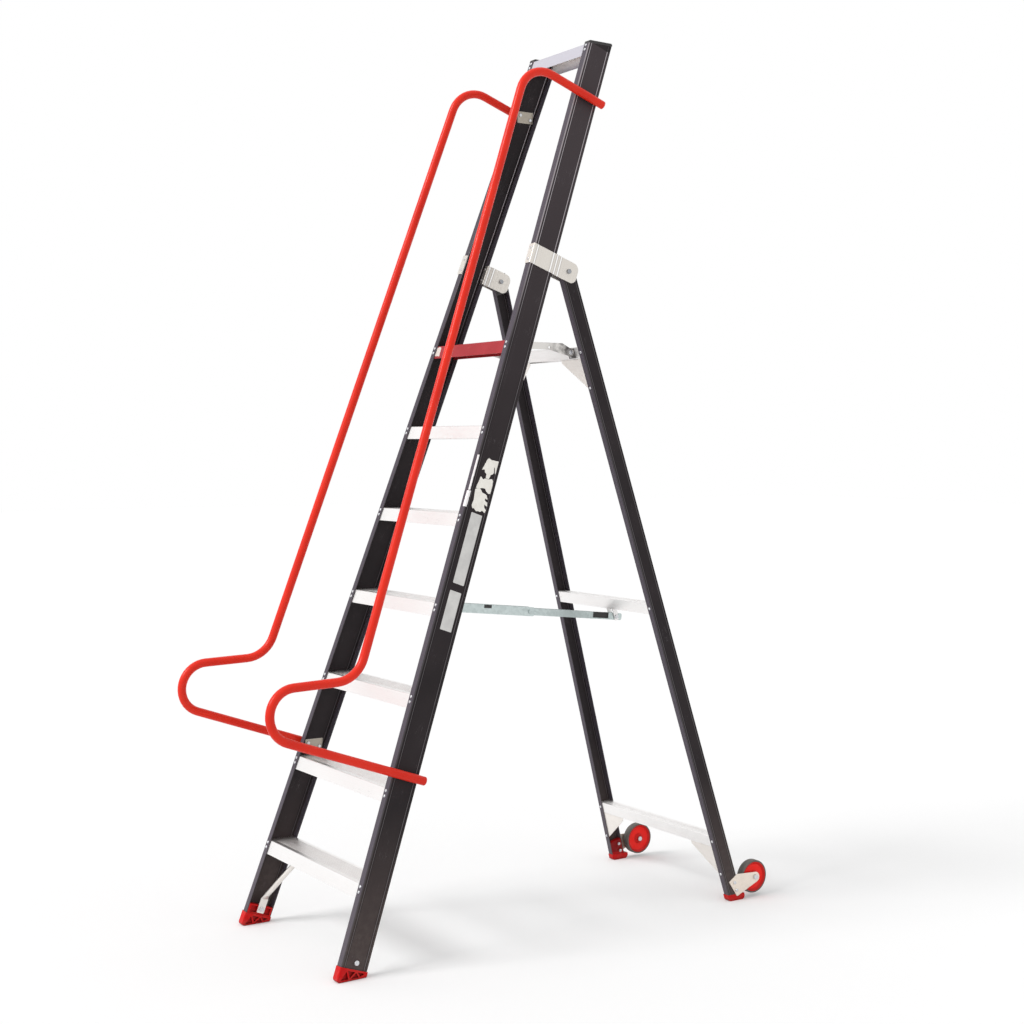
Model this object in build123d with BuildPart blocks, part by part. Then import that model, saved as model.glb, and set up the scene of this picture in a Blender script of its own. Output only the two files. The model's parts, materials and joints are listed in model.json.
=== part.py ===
from build123d import *
from collections import namedtuple
from math import cos, hypot, radians, sin, sqrt, tan
import os

# Platform steps: a front frame with treads and handrails, and a lighter rear frame that folds against it.
# Lengths are in millimetres and angles in degrees.
# Z is up, the climber faces +Y, and X runs to the climber's right.

# Stance of the two frames
front_lean = 19.55
rear_lean = 16.5
front_taper = 3.25
rear_taper = 3.36
front_half_width = 318.6
rise = 250
tread_count = 6
guard_height = 911

# Channels of the stiles
front_depth = 84
front_flange = 22.5
front_wall = 2.2
front_corner = 2.5
panel_margin = 11
panel_recess = 0.6
rear_depth = 50
rear_flange = 20
rear_wall = 2
rear_corner = 2
cap_thickness = 8
cap_rounding = 5

# Cross bars
bar_leg = 38
bar_skin = 2.5
bar_corner = 2.2
groove_pitch = 6
groove_width = 3
groove_depth = 1.2
smooth_band = 12
upper_bar_drop = 10
middle_bar_drop = 42
lower_bar_top = 212
rear_bar_leg = 36

# Rivets and general fits
rivet_radius = 2.4
rivet_head_radius = 4.4
rivet_head = 2
rivet_tail_radius = 3.4
rivet_tail = 2
rivet_drop = 6
rivet_pitch = 15
rear_rivet_drop = 17
front_rivet_inset = 12
rear_rivet_inset = 9.5
fit = 0.2
hole_clearance = 0.1
run_clearance = 0.06
cut_past = 2

# Main hinge
pivot_above_platform = 212
pivot_back = 139.3
pivot_radius = 4
pivot_head_radius = 7
pivot_head = 5
head_gap = 0.5
hinge_inset = 3.6
hinge_side_clearance = 1.5
strap_thickness = 3
strap_height = 62
strap_jog = 17
strap_crease = 2.5
jog_gap = 1
lug_reach = 32
lug_rounding = 20
lug_leg = 15
strap_rivet_spread = 36
block_length = 62
stile_over_pivot = 24

# Handrails
rail_radius = 12.5
rail_wall = 2
rail_below_top = 168.3
rail_low_tread = 2
rail_above_tread = 27.5
elbow_above_low = 213
rail_gap = 194
rail_bend = 90
rail_loop = 74
rail_leg_angle = 21.3
rail_end_back = 94
rail_saddle = 3
saddle_length = 50
saddle_width = 15
saddle_height = 8
plug_rim = 2.5
plug_depth = 12
rail_bolt_spread = 40
rail_bolt_centre = 46
rail_bolt_radius = 3
rail_bolt_head_radius = 5.5
rail_bolt_head = 3
backing_length = 58
backing_width = 36
backing_thickness = 2

# Front shoes and their braces
front_shoe_end = 45
front_insert = 28
shoe_rim = 2.5
shoe_rounding = 3
toe_rounding = 9
heel_rounding = 5
pocket_depth = 7
pocket_margin = 4
pocket_share = 0.76
truss_nodes = 6
shoe_bolt_back = 44
shoe_bolt_up = 63
shoe_bolt_radius = 4
shoe_bolt_head_radius = 7.5
shoe_bolt_head = 4.5
brace_radius = 8
brace_flat = 3
brace_tab_width = 24
brace_tab_length = 46
brace_tab_corner = 3
brace_low_up = 112
brace_high_inset = 98
brace_high_drop = 22
brace_high_tab = 26

# Rear shoes
rear_shoe_top = 20
rear_shoe_front = 2
rear_shoe_back = 13
rear_insert_up = 64
rear_shoe_rounding = 2
rear_toe_rounding = 10
rear_heel_rounding = 12

# Gussets of the rear frame
gusset_width = 120
gusset_height = 100
gusset_blunt = 10
gusset_rivet_up = 10

# Wheels
axle_back = 120
axle_up = 30.5
axle_radius = 5
tyre_radius = 52.5
tyre_inner = 47.5
tyre_width = 26
tyre_rounding = 3
hub_dish = 3
hub_boss = 15
hub_rim = 5
wheel_gap = 3
wheel_plate = 3
plate_corner = 4
plate_nose = 16
plate_top_front = (19, 58)
plate_top_back = (51, 67)
plate_bottom = (33, 9)
plate_bolt_back = 34.5
plate_bolt_high = 50
plate_bolt_low = 24
plate_bolt_radius = 3
plate_bolt_head_radius = 5.5
plate_bolt_head = 4
axle_head_radius = 8
axle_head = 5

# Platform
deck_gap = 3
deck_thickness = 4
deck_side_gap = 18.2
deck_rear_gap = 31
deck_rib = 10
deck_rib_width = 3
deck_rib_spacing = 90
deck_flange = 3
deck_flange_height = 21
deck_flange_front = 11
platform_pivot_drop = 27
platform_pivot_ahead = 16
tongue_radius = 12
tongue_slope_start = 77
flange_hole = 4
flange_hole_ahead = 78
flange_hole_up = 13
ear_thickness = 4
ear_gap = 1
ear_radius = 11
ear_foot_spread = 12
ear_foot_radius = 3
ear_base_width = 30
rest_clearance = 0.3
rest_thickness = 2
rest_reach = 14
rest_height = 24
rest_side_gap = 22
rest_rivet_inset = 38
rest_rivet_drop = 14

# Jointed stay
stay_pin_radius = 4
stay_pin_head_radius = 6.5
stay_pin_head = 3
stay_front_tread = 4
stay_front_drop = 33
stay_end_gap = 2.2
stay_rear_back = 33
stay_rear_drop = 65
knee_behind_pin = 17
stay_wall = 2
front_link_width = 30
front_link_height = 28
front_link_past_knee = 17
rear_link_width = 24
rear_link_height = 22
rear_link_tail = 24
stay_gap = 0.6
stay_ear_thickness = 3
stay_ear_radius = 9
stay_base_half_width = 34
stay_rivet_x = 27
hanger_gap = 1.5
hanger_thickness = 3
hanger_front = 25
hanger_back = 41
hanger_below = 11
hanger_slot_slope = 32
latch_ahead = 26
latch_length = 68
latch_sunk = 0.5
window_frame = 3


def sind(angle):
    return sin(radians(angle))


def cosd(angle):
    return cos(radians(angle))


def tand(angle):
    return tan(radians(angle))


# Levels that follow from the steps
platform_top = rise * (tread_count + 1)
tread_tops = [rise * (step + 1) for step in range(tread_count)]
stile_top = platform_top + guard_height
pivot_height = platform_top + pivot_above_platform
upper_bar_top = platform_top - upper_bar_drop
middle_bar_top = tread_tops[stay_front_tread - 1] - middle_bar_drop

# Levels along the outer face of the front stile
along_face = cosd(front_lean) * cosd(front_taper)
rail_bolt_height = tread_tops[rail_low_tread - 1] + rail_above_tread
rail_low = (rail_bolt_height + rail_bolt_centre * sind(front_lean)) / along_face
rail_elbow = rail_low + elbow_above_low
rail_top = stile_top / along_face - rail_below_top

# Where the frames stand, first measured back from the line where the front face meets the floor
pivot_from_line = pivot_height * tand(front_lean) + pivot_back / cosd(front_lean)
rear_from_line = pivot_from_line + pivot_height * tand(rear_lean) - rear_depth / 2 / cosd(rear_lean)
axle_from_line = rear_from_line + axle_back * cosd(rear_lean) - axle_up * cosd(rear_taper) * sind(rear_lean)

# The loop of the handrail reaches furthest forward
leg_to_loop = (rail_elbow - rail_low - rail_loop - rail_loop * cosd(rail_leg_angle)) / sind(rail_leg_angle)
loop_back = -rail_gap - leg_to_loop * cosd(rail_leg_angle) + rail_loop * sind(rail_leg_angle)
loop_up = (rail_low + rail_loop) * cosd(front_taper) + (rail_saddle + rail_radius) * sind(front_taper)
loop_spread = rail_loop * hypot(cosd(front_lean), cosd(front_taper) * sind(front_lean))
loop_from_line = loop_back * cosd(front_lean) + loop_up * sind(front_lean) - loop_spread - rail_radius

# The origin is on the floor, midway between the front and rear reaches
front_line = -(loop_from_line + axle_from_line + tyre_radius) / 2
pivot_y = front_line + pivot_from_line
axle_y = front_line + axle_from_line

# The rear stiles hang between the hinge lugs
pivot_up = (pivot_height + pivot_back * sind(front_lean)) / cosd(front_lean)
front_outer_at_pivot = front_half_width - pivot_up * tand(front_taper)
rear_pivot_up = (pivot_height - rear_depth / 2 * sind(rear_lean)) / cosd(rear_lean)
rear_half_width = front_outer_at_pivot - hinge_inset + rear_pivot_up * tand(rear_taper)

Frame = namedtuple("Frame", "face side section half_width lean taper depth flange wall rivet_inset")


def frame_at(foot_y, half_width, lean, taper, depth, flange, wall, rivet_inset):
    """Planes of one frame: face looks forward, side is the right stile's outer face."""
    face = Plane(origin=(0, foot_y, 0), x_dir=(1, 0, 0), z_dir=(0, -cosd(lean), sind(lean)))
    outward = face.x_dir * cosd(taper) + face.y_dir * sind(taper)
    corner = face.from_local_coords((half_width, 0, 0))
    side = Plane(origin=corner, x_dir=-face.z_dir, z_dir=outward)
    section = Plane(origin=corner, x_dir=outward, z_dir=side.y_dir)
    return Frame(face, side, section, half_width, lean, taper, depth, flange, wall, rivet_inset)


front = frame_at(
    front_line, front_half_width, front_lean, front_taper,
    front_depth, front_flange, front_wall, front_rivet_inset,
)
rear = frame_at(
    front_line + rear_from_line, rear_half_width, -rear_lean, rear_taper,
    rear_depth, rear_flange, rear_wall, rear_rivet_inset,
)


def facing_back(frame, back):
    """A plane behind the face of a frame that looks backwards out of it."""
    return Plane(
        origin=frame.face.offset(-back).origin, x_dir=-frame.face.x_dir, z_dir=-frame.face.z_dir
    )


def mirrored(plane):
    """The same plane on the climber's left."""
    origin, across, normal = plane.origin, plane.x_dir, plane.z_dir
    return Plane(
        origin=(-origin.X, origin.Y, origin.Z),
        x_dir=(-across.X, across.Y, across.Z),
        z_dir=(-normal.X, normal.Y, normal.Z),
    )


def left_of(right):
    """A left-hand piece from its right-hand twin."""
    with BuildPart() as left:
        mirror(right.part, about=Plane.YZ)
    return left


def up_slope(frame, height, back):
    """Distance up the frame at a height above the floor and a depth behind the face."""
    return (height + back * sind(frame.lean)) / cosd(frame.lean)


def at_height(frame, height, back):
    """Y and Z of a point at a height above the floor and a depth behind the face."""
    return (frame.face.origin.Y + height * tand(frame.lean) + back / cosd(frame.lean), height)


def in_frame(frame, up, back):
    """Y and Z of a point given up the slope and behind the face."""
    spot = frame.face.from_local_coords((0, up, -back))
    return (spot.Y, spot.Z)


def stile_x(frame, up, inset):
    """X on the right stile at a distance up the slope, measured in from its outer face."""
    return frame.half_width - inset / cosd(frame.taper) - up * tand(frame.taper)


def rivet_spots(frame, heights, back):
    """Rivet places on both stiles, as across and up. Those on the back of a frame sit a little lower."""
    lower = rivet_drop if back else 0
    ups = [up_slope(frame, height - lower, back) for height in heights]
    return [(hand * stile_x(frame, up, frame.rivet_inset), up) for up in ups for hand in (1, -1)]


def drill_rivets(frame, heights):
    """Cuts rivet holes through both flanges and the bar legs behind them."""
    for plane, back in ((frame.face, 0), (facing_back(frame, frame.depth), frame.depth)):
        with BuildSketch(plane) as holes:
            with Locations(*rivet_spots(frame, heights, back)):
                Circle(rivet_radius + hole_clearance)
        extrude(holes.sketch, amount=-(frame.wall + bar_skin + cut_past), mode=Mode.SUBTRACT)


def drill_side(frame, spots, radius, outside, inside):
    """Cuts round holes square to the right stile's outer face."""
    with BuildSketch(frame.side.offset(outside)) as holes:
        with Locations(*spots):
            Circle(radius)
    extrude(holes.sketch, amount=-(outside + inside), mode=Mode.SUBTRACT)


def drill_across(spot, radius, low, high):
    """Cuts a round hole along X through a point given as Y and Z."""
    with BuildSketch(Plane.YZ.offset(low)) as hole:
        with Locations(spot):
            Circle(radius)
    extrude(hole.sketch, amount=high - low, mode=Mode.SUBTRACT)


def rivet(grip):
    """Rivet with its head on top, its shank down through the grip and its tail behind."""
    with BuildPart() as piece:
        Cylinder(rivet_head_radius, rivet_head, align=(Align.CENTER, Align.CENTER, Align.MIN))
        fillet(piece.edges().group_by(Axis.Z)[-1], radius=rivet_head * 0.7)
        Cylinder(rivet_radius, grip, align=(Align.CENTER, Align.CENTER, Align.MAX))
        with Locations((0, 0, -grip)):
            Cylinder(rivet_tail_radius, rivet_tail, align=(Align.CENTER, Align.CENTER, Align.MAX))
    return piece


def side_bolt(radius, head_radius, head, grip, tail):
    """Bolt with a domed head on top, a shank down through the grip and a hexagon nut below."""
    with BuildPart() as piece:
        Cylinder(head_radius, head, align=(Align.CENTER, Align.CENTER, Align.MIN))
        fillet(piece.edges().group_by(Axis.Z)[-1], radius=head * 0.5)
        Cylinder(radius, grip + tail, align=(Align.CENTER, Align.CENTER, Align.MAX))
        with BuildSketch(Plane.XY.offset(-grip)):
            RegularPolygon(head_radius, 6)
        extrude(amount=-tail * 0.8)
    return piece


def cross_pin(spot, radius, head_radius, head, low, high):
    """Pin along X with a round head beyond each end of its grip."""
    with BuildPart() as piece:
        with BuildSketch(Plane.YZ.offset(low)):
            with Locations(spot):
                Circle(radius)
        extrude(amount=high - low)
        for x, way in ((low, -1), (high, 1)):
            with BuildSketch(Plane.YZ.offset(x)):
                with Locations(spot):
                    Circle(head_radius)
            extrude(amount=way * head)
        ends = piece.edges().filter_by(GeomType.CIRCLE).group_by(Axis.X)
        fillet(ends[0] + ends[-1], radius=head * 0.4)
    return piece


def channel(frame, start, length, corner):
    """Right stile's channel, open towards the middle of the steps."""
    with BuildPart() as piece:
        with BuildSketch(frame.section.offset(start)) as outline:
            Rectangle(frame.flange, frame.depth, align=(Align.MAX, Align.MIN))
            fillet(outline.vertices().group_by(Axis.X)[-1], radius=corner)
            with Locations((-frame.wall, frame.wall)):
                Rectangle(
                    frame.flange, frame.depth - 2 * frame.wall,
                    align=(Align.MAX, Align.MIN), mode=Mode.SUBTRACT,
                )
        extrude(amount=length)
    return piece


def cross_bar(frame, top, leg, heights, rear_spots=()):
    """Ribbed bar between two stiles, its two legs flat against the flanges."""
    first, last = frame.wall, frame.depth - frame.wall
    groove_count = int((last - first - 2 * smooth_band) / groove_pitch) + 1
    with BuildPart() as piece:
        with BuildSketch(Plane.YZ) as outline:
            Polygon(
                at_height(frame, top, first), at_height(frame, top, last),
                at_height(frame, top - leg, last), at_height(frame, top - leg, first), align=None,
            )
            fillet(outline.vertices().group_by(Axis.Y)[-1], radius=bar_corner)
            Polygon(
                at_height(frame, top - bar_skin, first + bar_skin),
                at_height(frame, top - bar_skin, last - bar_skin),
                at_height(frame, top - leg - cut_past, last - bar_skin),
                at_height(frame, top - leg - cut_past, first + bar_skin),
                align=None, mode=Mode.SUBTRACT,
            )
            with Locations(at_height(frame, top, frame.depth / 2)):
                with GridLocations(groove_pitch, groove_pitch, groove_count, 1):
                    Rectangle(groove_width, 2 * groove_depth, mode=Mode.SUBTRACT)
        extrude(amount=frame.half_width, both=True)
        for web in (frame.side, mirrored(frame.side)):
            split(bisect_by=web.offset(-frame.wall - fit), keep=Keep.BOTTOM)
        drill_rivets(frame, heights)
        if rear_spots:
            with BuildSketch(facing_back(frame, last)) as holes:
                with Locations(*rear_spots):
                    Circle(rivet_radius + hole_clearance)
            extrude(holes.sketch, amount=-(bar_skin + cut_past), mode=Mode.SUBTRACT)
    return piece


# Heights of every bar, and of the rivets that hold it
top_bar_top = stile_top - fit
front_bar_tops = tread_tops + [platform_top, top_bar_top]
rear_bar_tops = [upper_bar_top, middle_bar_top, lower_bar_top]


def front_bar_rivets(top):
    return [top - rivet_drop, top - rivet_drop - rivet_pitch * cosd(front_lean)]


front_rivet_heights = [height for top in front_bar_tops for height in front_bar_rivets(top)]
rear_rivet_heights = [top - rear_rivet_drop for top in rear_bar_tops]

# Places on the right front stile, as back and up on its outer face
rail_bolt_spots = [
    (rail_bolt_centre + step * rail_bolt_spread / 2, up)
    for up in (rail_low, rail_top)
    for step in (-1, 1)
]
shoe_bolt_spot = (shoe_bolt_back, shoe_bolt_up)
strap_up = pivot_up / cosd(front_taper)
strap_rivet_spots = [
    (stile_x(front, up, front_rivet_inset), up)
    for up in (pivot_up - strap_rivet_spread / 2, pivot_up + strap_rivet_spread / 2)
]
lug_rivet_spots = [(hand * across, up) for across, up in strap_rivet_spots for hand in (1, -1)]

# The line where the face meets the top of the stile is the highest point along it
stile_reach = up_slope(front, stile_top, front_depth) / cosd(front_taper) + front_flange

with BuildPart() as right_front_stile:
    add(channel(front, front_shoe_end, stile_reach - front_shoe_end, front_corner).part)
    with BuildSketch(front.section.offset(front_shoe_end)):
        with Locations((0, front_depth / 2)):
            Rectangle(2 * panel_recess, front_depth - 2 * panel_margin)
    extrude(amount=stile_reach, mode=Mode.SUBTRACT)
    split(bisect_by=Plane.XY.offset(stile_top), keep=Keep.BOTTOM)
    drill_rivets(front, front_rivet_heights)
    drill_side(front, rail_bolt_spots, rail_bolt_radius + hole_clearance, cut_past, front_wall + cut_past)
    drill_side(front, [shoe_bolt_spot], shoe_bolt_radius + hole_clearance, cut_past, front_wall + cut_past)
    with BuildSketch(front.face):
        with Locations(*strap_rivet_spots):
            Circle(rivet_radius + hole_clearance)
    extrude(amount=-(front_wall + cut_past), mode=Mode.SUBTRACT)
    with BuildSketch(facing_back(front, front_depth)):
        with Locations(*lug_rivet_spots):
            Circle(rivet_radius + hole_clearance)
    extrude(amount=-(front_wall + cut_past), mode=Mode.SUBTRACT)

left_front_stile = left_of(right_front_stile)

# Places riveted on the back of a bar, as across and up on that back
bar_back = front_depth - front_wall
brace_up = up_slope(front, rise - brace_high_drop, bar_back)
brace_x = stile_x(front, brace_up, brace_high_inset)
brace_spots = [(hand * brace_x, brace_up) for hand in (1, -1)]
stay_base_up = up_slope(front, tread_tops[stay_front_tread - 1] - bar_leg / 2, bar_back)
stay_spots = [(hand * stay_rivet_x, stay_base_up) for hand in (1, -1)]
ear_up = up_slope(rear, upper_bar_top - rear_bar_leg / 2, rear_wall)
deck_half_width = stile_x(rear, ear_up, rear_flange) - deck_side_gap
rest_half_width = deck_half_width - rest_side_gap
rest_rivet_x = rest_half_width - rest_rivet_inset
rest_top = platform_top - deck_thickness - rest_clearance
rest_rivet_up = up_slope(front, rest_top - rest_rivet_drop, bar_back)
rest_spots = [(hand * rest_rivet_x, rest_rivet_up) for hand in (1, -1)]
tread_spots = {1: brace_spots, stay_front_tread: stay_spots}

treads = [
    cross_bar(front, top, bar_leg, front_bar_rivets(top), tread_spots.get(step + 1, ()))
    for step, top in enumerate(tread_tops)
]
platform_nosing = cross_bar(front, platform_top, bar_leg, front_bar_rivets(platform_top), rest_spots)
top_bar = cross_bar(front, top_bar_top, bar_leg, front_bar_rivets(top_bar_top))

with BuildPart() as tread_rivets:
    for plane, back in ((front.face, 0), (facing_back(front, front_depth), front_depth)):
        spots = rivet_spots(front, front_rivet_heights, back)
        with Locations(*[plane * Pos(across, up) for across, up in spots]):
            add(rivet(front_wall + bar_skin).part)

# Cap on the level-cut end of the stile
with BuildPart() as right_stile_cap:
    with BuildSketch(front.section.offset(stile_reach - 2 * front_depth)):
        Rectangle(front_flange, front_depth, align=(Align.MAX, Align.MIN))
    extrude(amount=3 * front_depth)
    split(bisect_by=Plane.XY.offset(stile_top), keep=Keep.TOP)
    split(bisect_by=Plane.XY.offset(stile_top + cap_thickness), keep=Keep.BOTTOM)
    cap_edges = right_stile_cap.edges().group_by(Axis.Z)[-1].sort_by(Axis.Y)
    fillet([cap_edges[0], cap_edges[-1]], radius=cap_rounding)

left_stile_cap = left_of(right_stile_cap)

# Strap folded over the front stile's face and creased into its panel, with a lug behind it for the rear stile,
# and a second lug riveted inside the stile's rear flange
panel_end = front_depth - panel_margin
lug_outer = -hinge_inset + hinge_side_clearance
lug_inner = -hinge_inset - rear_flange - hinge_side_clearance
lug_end = pivot_back + lug_reach
jog_start = front_depth + jog_gap
jog_end = jog_start + strap_jog
pivot_spot = (pivot_y, pivot_height)

with BuildPart() as right_hinge_strap:
    with BuildSketch(front.section.offset(strap_up - strap_height / 2)):
        with BuildLine():
            Polyline(
                (-front_flange, 0), (0, 0), (0, panel_margin), (-panel_recess, panel_margin + strap_crease),
                (-panel_recess, panel_end - strap_crease), (0, panel_end), (0, jog_start),
                (lug_outer, jog_end), (lug_outer, lug_end),
            )
            offset(amount=strap_thickness, side=Side.RIGHT)
        make_face()
        with BuildLine():
            Polyline(
                (lug_leg - front_flange, bar_back), (-front_flange, bar_back), (-front_flange, jog_start),
                (lug_inner, jog_end), (lug_inner, lug_end),
            )
            offset(amount=strap_thickness, side=Side.LEFT)
        make_face()
    extrude(amount=strap_height)
    with BuildSketch(front.side) as lug_outline:
        with Locations((lug_end, strap_up)):
            Rectangle(2 * lug_end, strap_height, align=(Align.MAX, Align.CENTER))
        fillet(lug_outline.vertices().group_by(Axis.X)[-1], radius=lug_rounding)
    extrude(amount=2 * front_flange, both=True, mode=Mode.INTERSECT)
    drill_across(pivot_spot, pivot_radius + run_clearance, 0, front_half_width)
    with BuildSketch(front.face.offset(strap_thickness + cut_past)):
        with Locations(*strap_rivet_spots):
            Circle(rivet_radius + hole_clearance)
    extrude(amount=-(strap_thickness + 2 * cut_past), mode=Mode.SUBTRACT)
    with BuildSketch(facing_back(front, bar_back + cut_past)):
        with Locations(*lug_rivet_spots):
            Circle(rivet_radius + hole_clearance)
    extrude(amount=-(strap_thickness + 2 * cut_past), mode=Mode.SUBTRACT)

left_hinge_strap = left_of(right_hinge_strap)

# Hinge bolts run along X, so their heads stand a little off the tapered lugs
lug_outside = front_outer_at_pivot + lug_outer + strap_thickness + head_gap
lug_inside = front_outer_at_pivot + lug_inner - strap_thickness - head_gap
right_hinge_bolt = cross_pin(
    pivot_spot, pivot_radius, pivot_head_radius, pivot_head, lug_inside, lug_outside
)
with BuildPart() as hinge_bolts:
    add(right_hinge_bolt.part)
    mirror(right_hinge_bolt.part, about=Plane.YZ)

# Handrail: one bent tube standing off the stile's outer face
rail_plane = front.side.offset(rail_saddle + rail_radius)
rail_turn = 90 - rail_leg_angle
elbow_length = rail_bend * tand(rail_turn / 2)

with BuildPart() as right_handrail:
    with BuildLine(rail_plane) as rail_path:
        top_leg = Line((rail_end_back, rail_top), (rail_bend - rail_gap, rail_top))
        top_bend = JernArc(top_leg @ 1, top_leg % 1, rail_bend, 90)
        long_leg = Line(top_bend @ 1, (-rail_gap, rail_elbow + elbow_length))
        elbow = JernArc(long_leg @ 1, long_leg % 1, rail_bend, -rail_turn)
        short_leg = PolarLine(elbow @ 1, leg_to_loop - elbow_length, direction=elbow % 1)
        loop = JernArc(short_leg @ 1, short_leg % 1, rail_loop, 90 + rail_turn)
        low_leg = Line(loop @ 1, (rail_end_back, rail_low))
    with BuildSketch(Plane(origin=rail_path.line @ 0, z_dir=rail_path.line % 0)):
        Circle(rail_radius)
        Circle(rail_radius - rail_wall, mode=Mode.SUBTRACT)
    sweep()
    drill_side(
        front, rail_bolt_spots, rail_bolt_radius + hole_clearance, rail_saddle + rail_radius, cut_past
    )

left_handrail = left_of(right_handrail)

# Plastic plugs in the four tube ends, with a spigot inside the tube
with BuildPart() as rail_plugs:
    for up in (rail_low, rail_top):
        mouth = rail_plane.from_local_coords((rail_end_back, up, 0))
        with BuildSketch(Plane(origin=mouth, z_dir=rail_plane.x_dir)):
            Circle(rail_radius)
        extrude(amount=plug_rim)
        with BuildSketch(Plane(origin=mouth, z_dir=rail_plane.x_dir)):
            Circle(rail_radius - rail_wall - fit)
        extrude(amount=-plug_depth)
    fillet(rail_plugs.faces().filter_by(Plane(origin=mouth, z_dir=rail_plane.x_dir)).sort_by(
        Axis(mouth, rail_plane.x_dir))[-2:].edges(), radius=plug_rim * 0.6)
    mirror(about=Plane.YZ)

# Saddles between tube and stile, hollowed to the tube
with BuildPart() as rail_saddles:
    with BuildSketch(front.side.offset(-panel_recess)):
        with Locations(*[(rail_bolt_centre, up) for up in (rail_low, rail_top)]):
            Rectangle(saddle_length, saddle_width)
    extrude(amount=saddle_height + panel_recess)
    for up in (rail_low, rail_top):
        mouth = rail_plane.from_local_coords((0, up, 0))
        with BuildSketch(Plane(origin=mouth, z_dir=rail_plane.x_dir)):
            Circle(rail_radius + hole_clearance)
        extrude(amount=rail_bolt_centre + saddle_length, mode=Mode.SUBTRACT)
    drill_side(front, rail_bolt_spots, rail_bolt_radius + hole_clearance, rail_radius, cut_past)
    mirror(about=Plane.YZ)

with BuildPart() as rail_backing_plates:
    with BuildSketch(front.side.offset(-front_wall)):
        with Locations(*[(rail_bolt_centre, up) for up in (rail_low, rail_top)]):
            RectangleRounded(backing_length, backing_width, backing_thickness, rotation=front_lean)
    extrude(amount=-backing_thickness)
    drill_side(
        front, rail_bolt_spots, rail_bolt_radius + hole_clearance, cut_past, front_wall + 2 * cut_past
    )
    mirror(about=Plane.YZ)

# Rail bolts go in from the backing plates and end inside the tube
bolt_grip = front_wall + backing_thickness + rail_saddle + rail_wall
with BuildPart() as rail_bolts:
    inner = front.side.offset(-front_wall - backing_thickness)
    facing_in = Plane(origin=inner.origin, x_dir=-inner.x_dir, z_dir=-inner.z_dir)
    with Locations(*[facing_in * Pos(-back, up) for back, up in rail_bolt_spots]):
        Cylinder(
            rail_bolt_head_radius, rail_bolt_head, align=(Align.CENTER, Align.CENTER, Align.MIN)
        )
        Cylinder(rail_bolt_radius, bolt_grip + rail_wall, align=(Align.CENTER, Align.CENTER, Align.MAX))
    tops = rail_bolts.edges().filter_by(GeomType.CIRCLE)
    fillet(tops.filter_by(lambda rim: rim.radius == rail_bolt_head_radius).sort_by(
        Axis(inner.origin, -inner.z_dir))[-len(rail_bolt_spots):], radius=rail_bolt_head * 0.6)
    mirror(about=Plane.YZ)

# Red shoe under the front stile: a trussed block to the floor and an insert up inside the channel
truss_step = (front_depth - 2 * pocket_margin) / (truss_nodes - 1)


def truss_node(index):
    """Corner of the shoe's truss, on the floor side for even numbers and on the stile side for odd."""
    back = pocket_margin + index * truss_step
    if index % 2:
        return Vector(back, front_shoe_end - pocket_margin)
    return Vector(back, back * tand(front_lean) / cosd(front_taper) + pocket_margin)


def truss_pocket(index):
    """Triangle between three truss corners, drawn in towards its middle to leave ribs."""
    corners = [truss_node(index + step) for step in range(3)]
    middle = (corners[0] + corners[1] + corners[2]) / 3
    drawn = [middle + (corner - middle) * pocket_share for corner in corners]
    return [(corner.X, corner.Y) for corner in drawn]


with BuildPart() as right_front_shoe:
    with BuildSketch(front.side.offset(shoe_rim)):
        with Locations((front_depth / 2, front_shoe_end)):
            Rectangle(front_depth + 2 * shoe_rim, 2 * front_shoe_end, align=(Align.CENTER, Align.MAX))
    extrude(amount=-(front_flange + 2 * shoe_rim))
    split(bisect_by=Plane.XY, keep=Keep.TOP)
    sole_edges = right_front_shoe.edges().filter_by(Axis.X).group_by(Axis.Z)[0].sort_by(Axis.Y)
    fillet(sole_edges[0], radius=toe_rounding)
    fillet(sole_edges[-1], radius=heel_rounding)
    along_stile = Axis(front.side.origin, front.side.y_dir)
    fillet(right_front_shoe.edges().filter_by(along_stile), radius=shoe_rounding)
    with BuildSketch(front.side.offset(-front_wall - fit)):
        with Locations((front_depth / 2, front_shoe_end)):
            Rectangle(
                front_depth - 2 * front_wall - 2 * fit, front_insert, align=(Align.CENTER, Align.MIN)
            )
    extrude(amount=-(front_flange - front_wall - fit))
    for start, depth in ((shoe_rim, -pocket_depth), (-front_flange - shoe_rim, pocket_depth)):
        with BuildSketch(front.side.offset(start)):
            for index in range(truss_nodes - 2):
                Polygon(*truss_pocket(index), align=None)
        extrude(amount=depth, mode=Mode.SUBTRACT)
    with BuildSketch(front.side.offset(-front_flange)):
        with Locations((shoe_bolt_back, front_shoe_end + front_insert / 2)):
            with GridLocations(front_depth * 0.55, front_insert, 2, 1):
                Rectangle(front_depth * 0.24, front_insert - 2 * pocket_margin)
    extrude(amount=pocket_depth, mode=Mode.SUBTRACT)
    drill_side(front, [shoe_bolt_spot], shoe_bolt_radius + hole_clearance, cut_past, front_flange + cut_past)

left_front_shoe = left_of(right_front_shoe)

with BuildPart() as shoe_bolts:
    with Locations(front.side.offset(-panel_recess) * Pos(*shoe_bolt_spot)):
        add(
            side_bolt(
                shoe_bolt_radius, shoe_bolt_head_radius, shoe_bolt_head,
                front_flange + brace_flat - panel_recess, shoe_bolt_head * 1.5,
            ).part
        )
    mirror(about=Plane.YZ)

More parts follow.
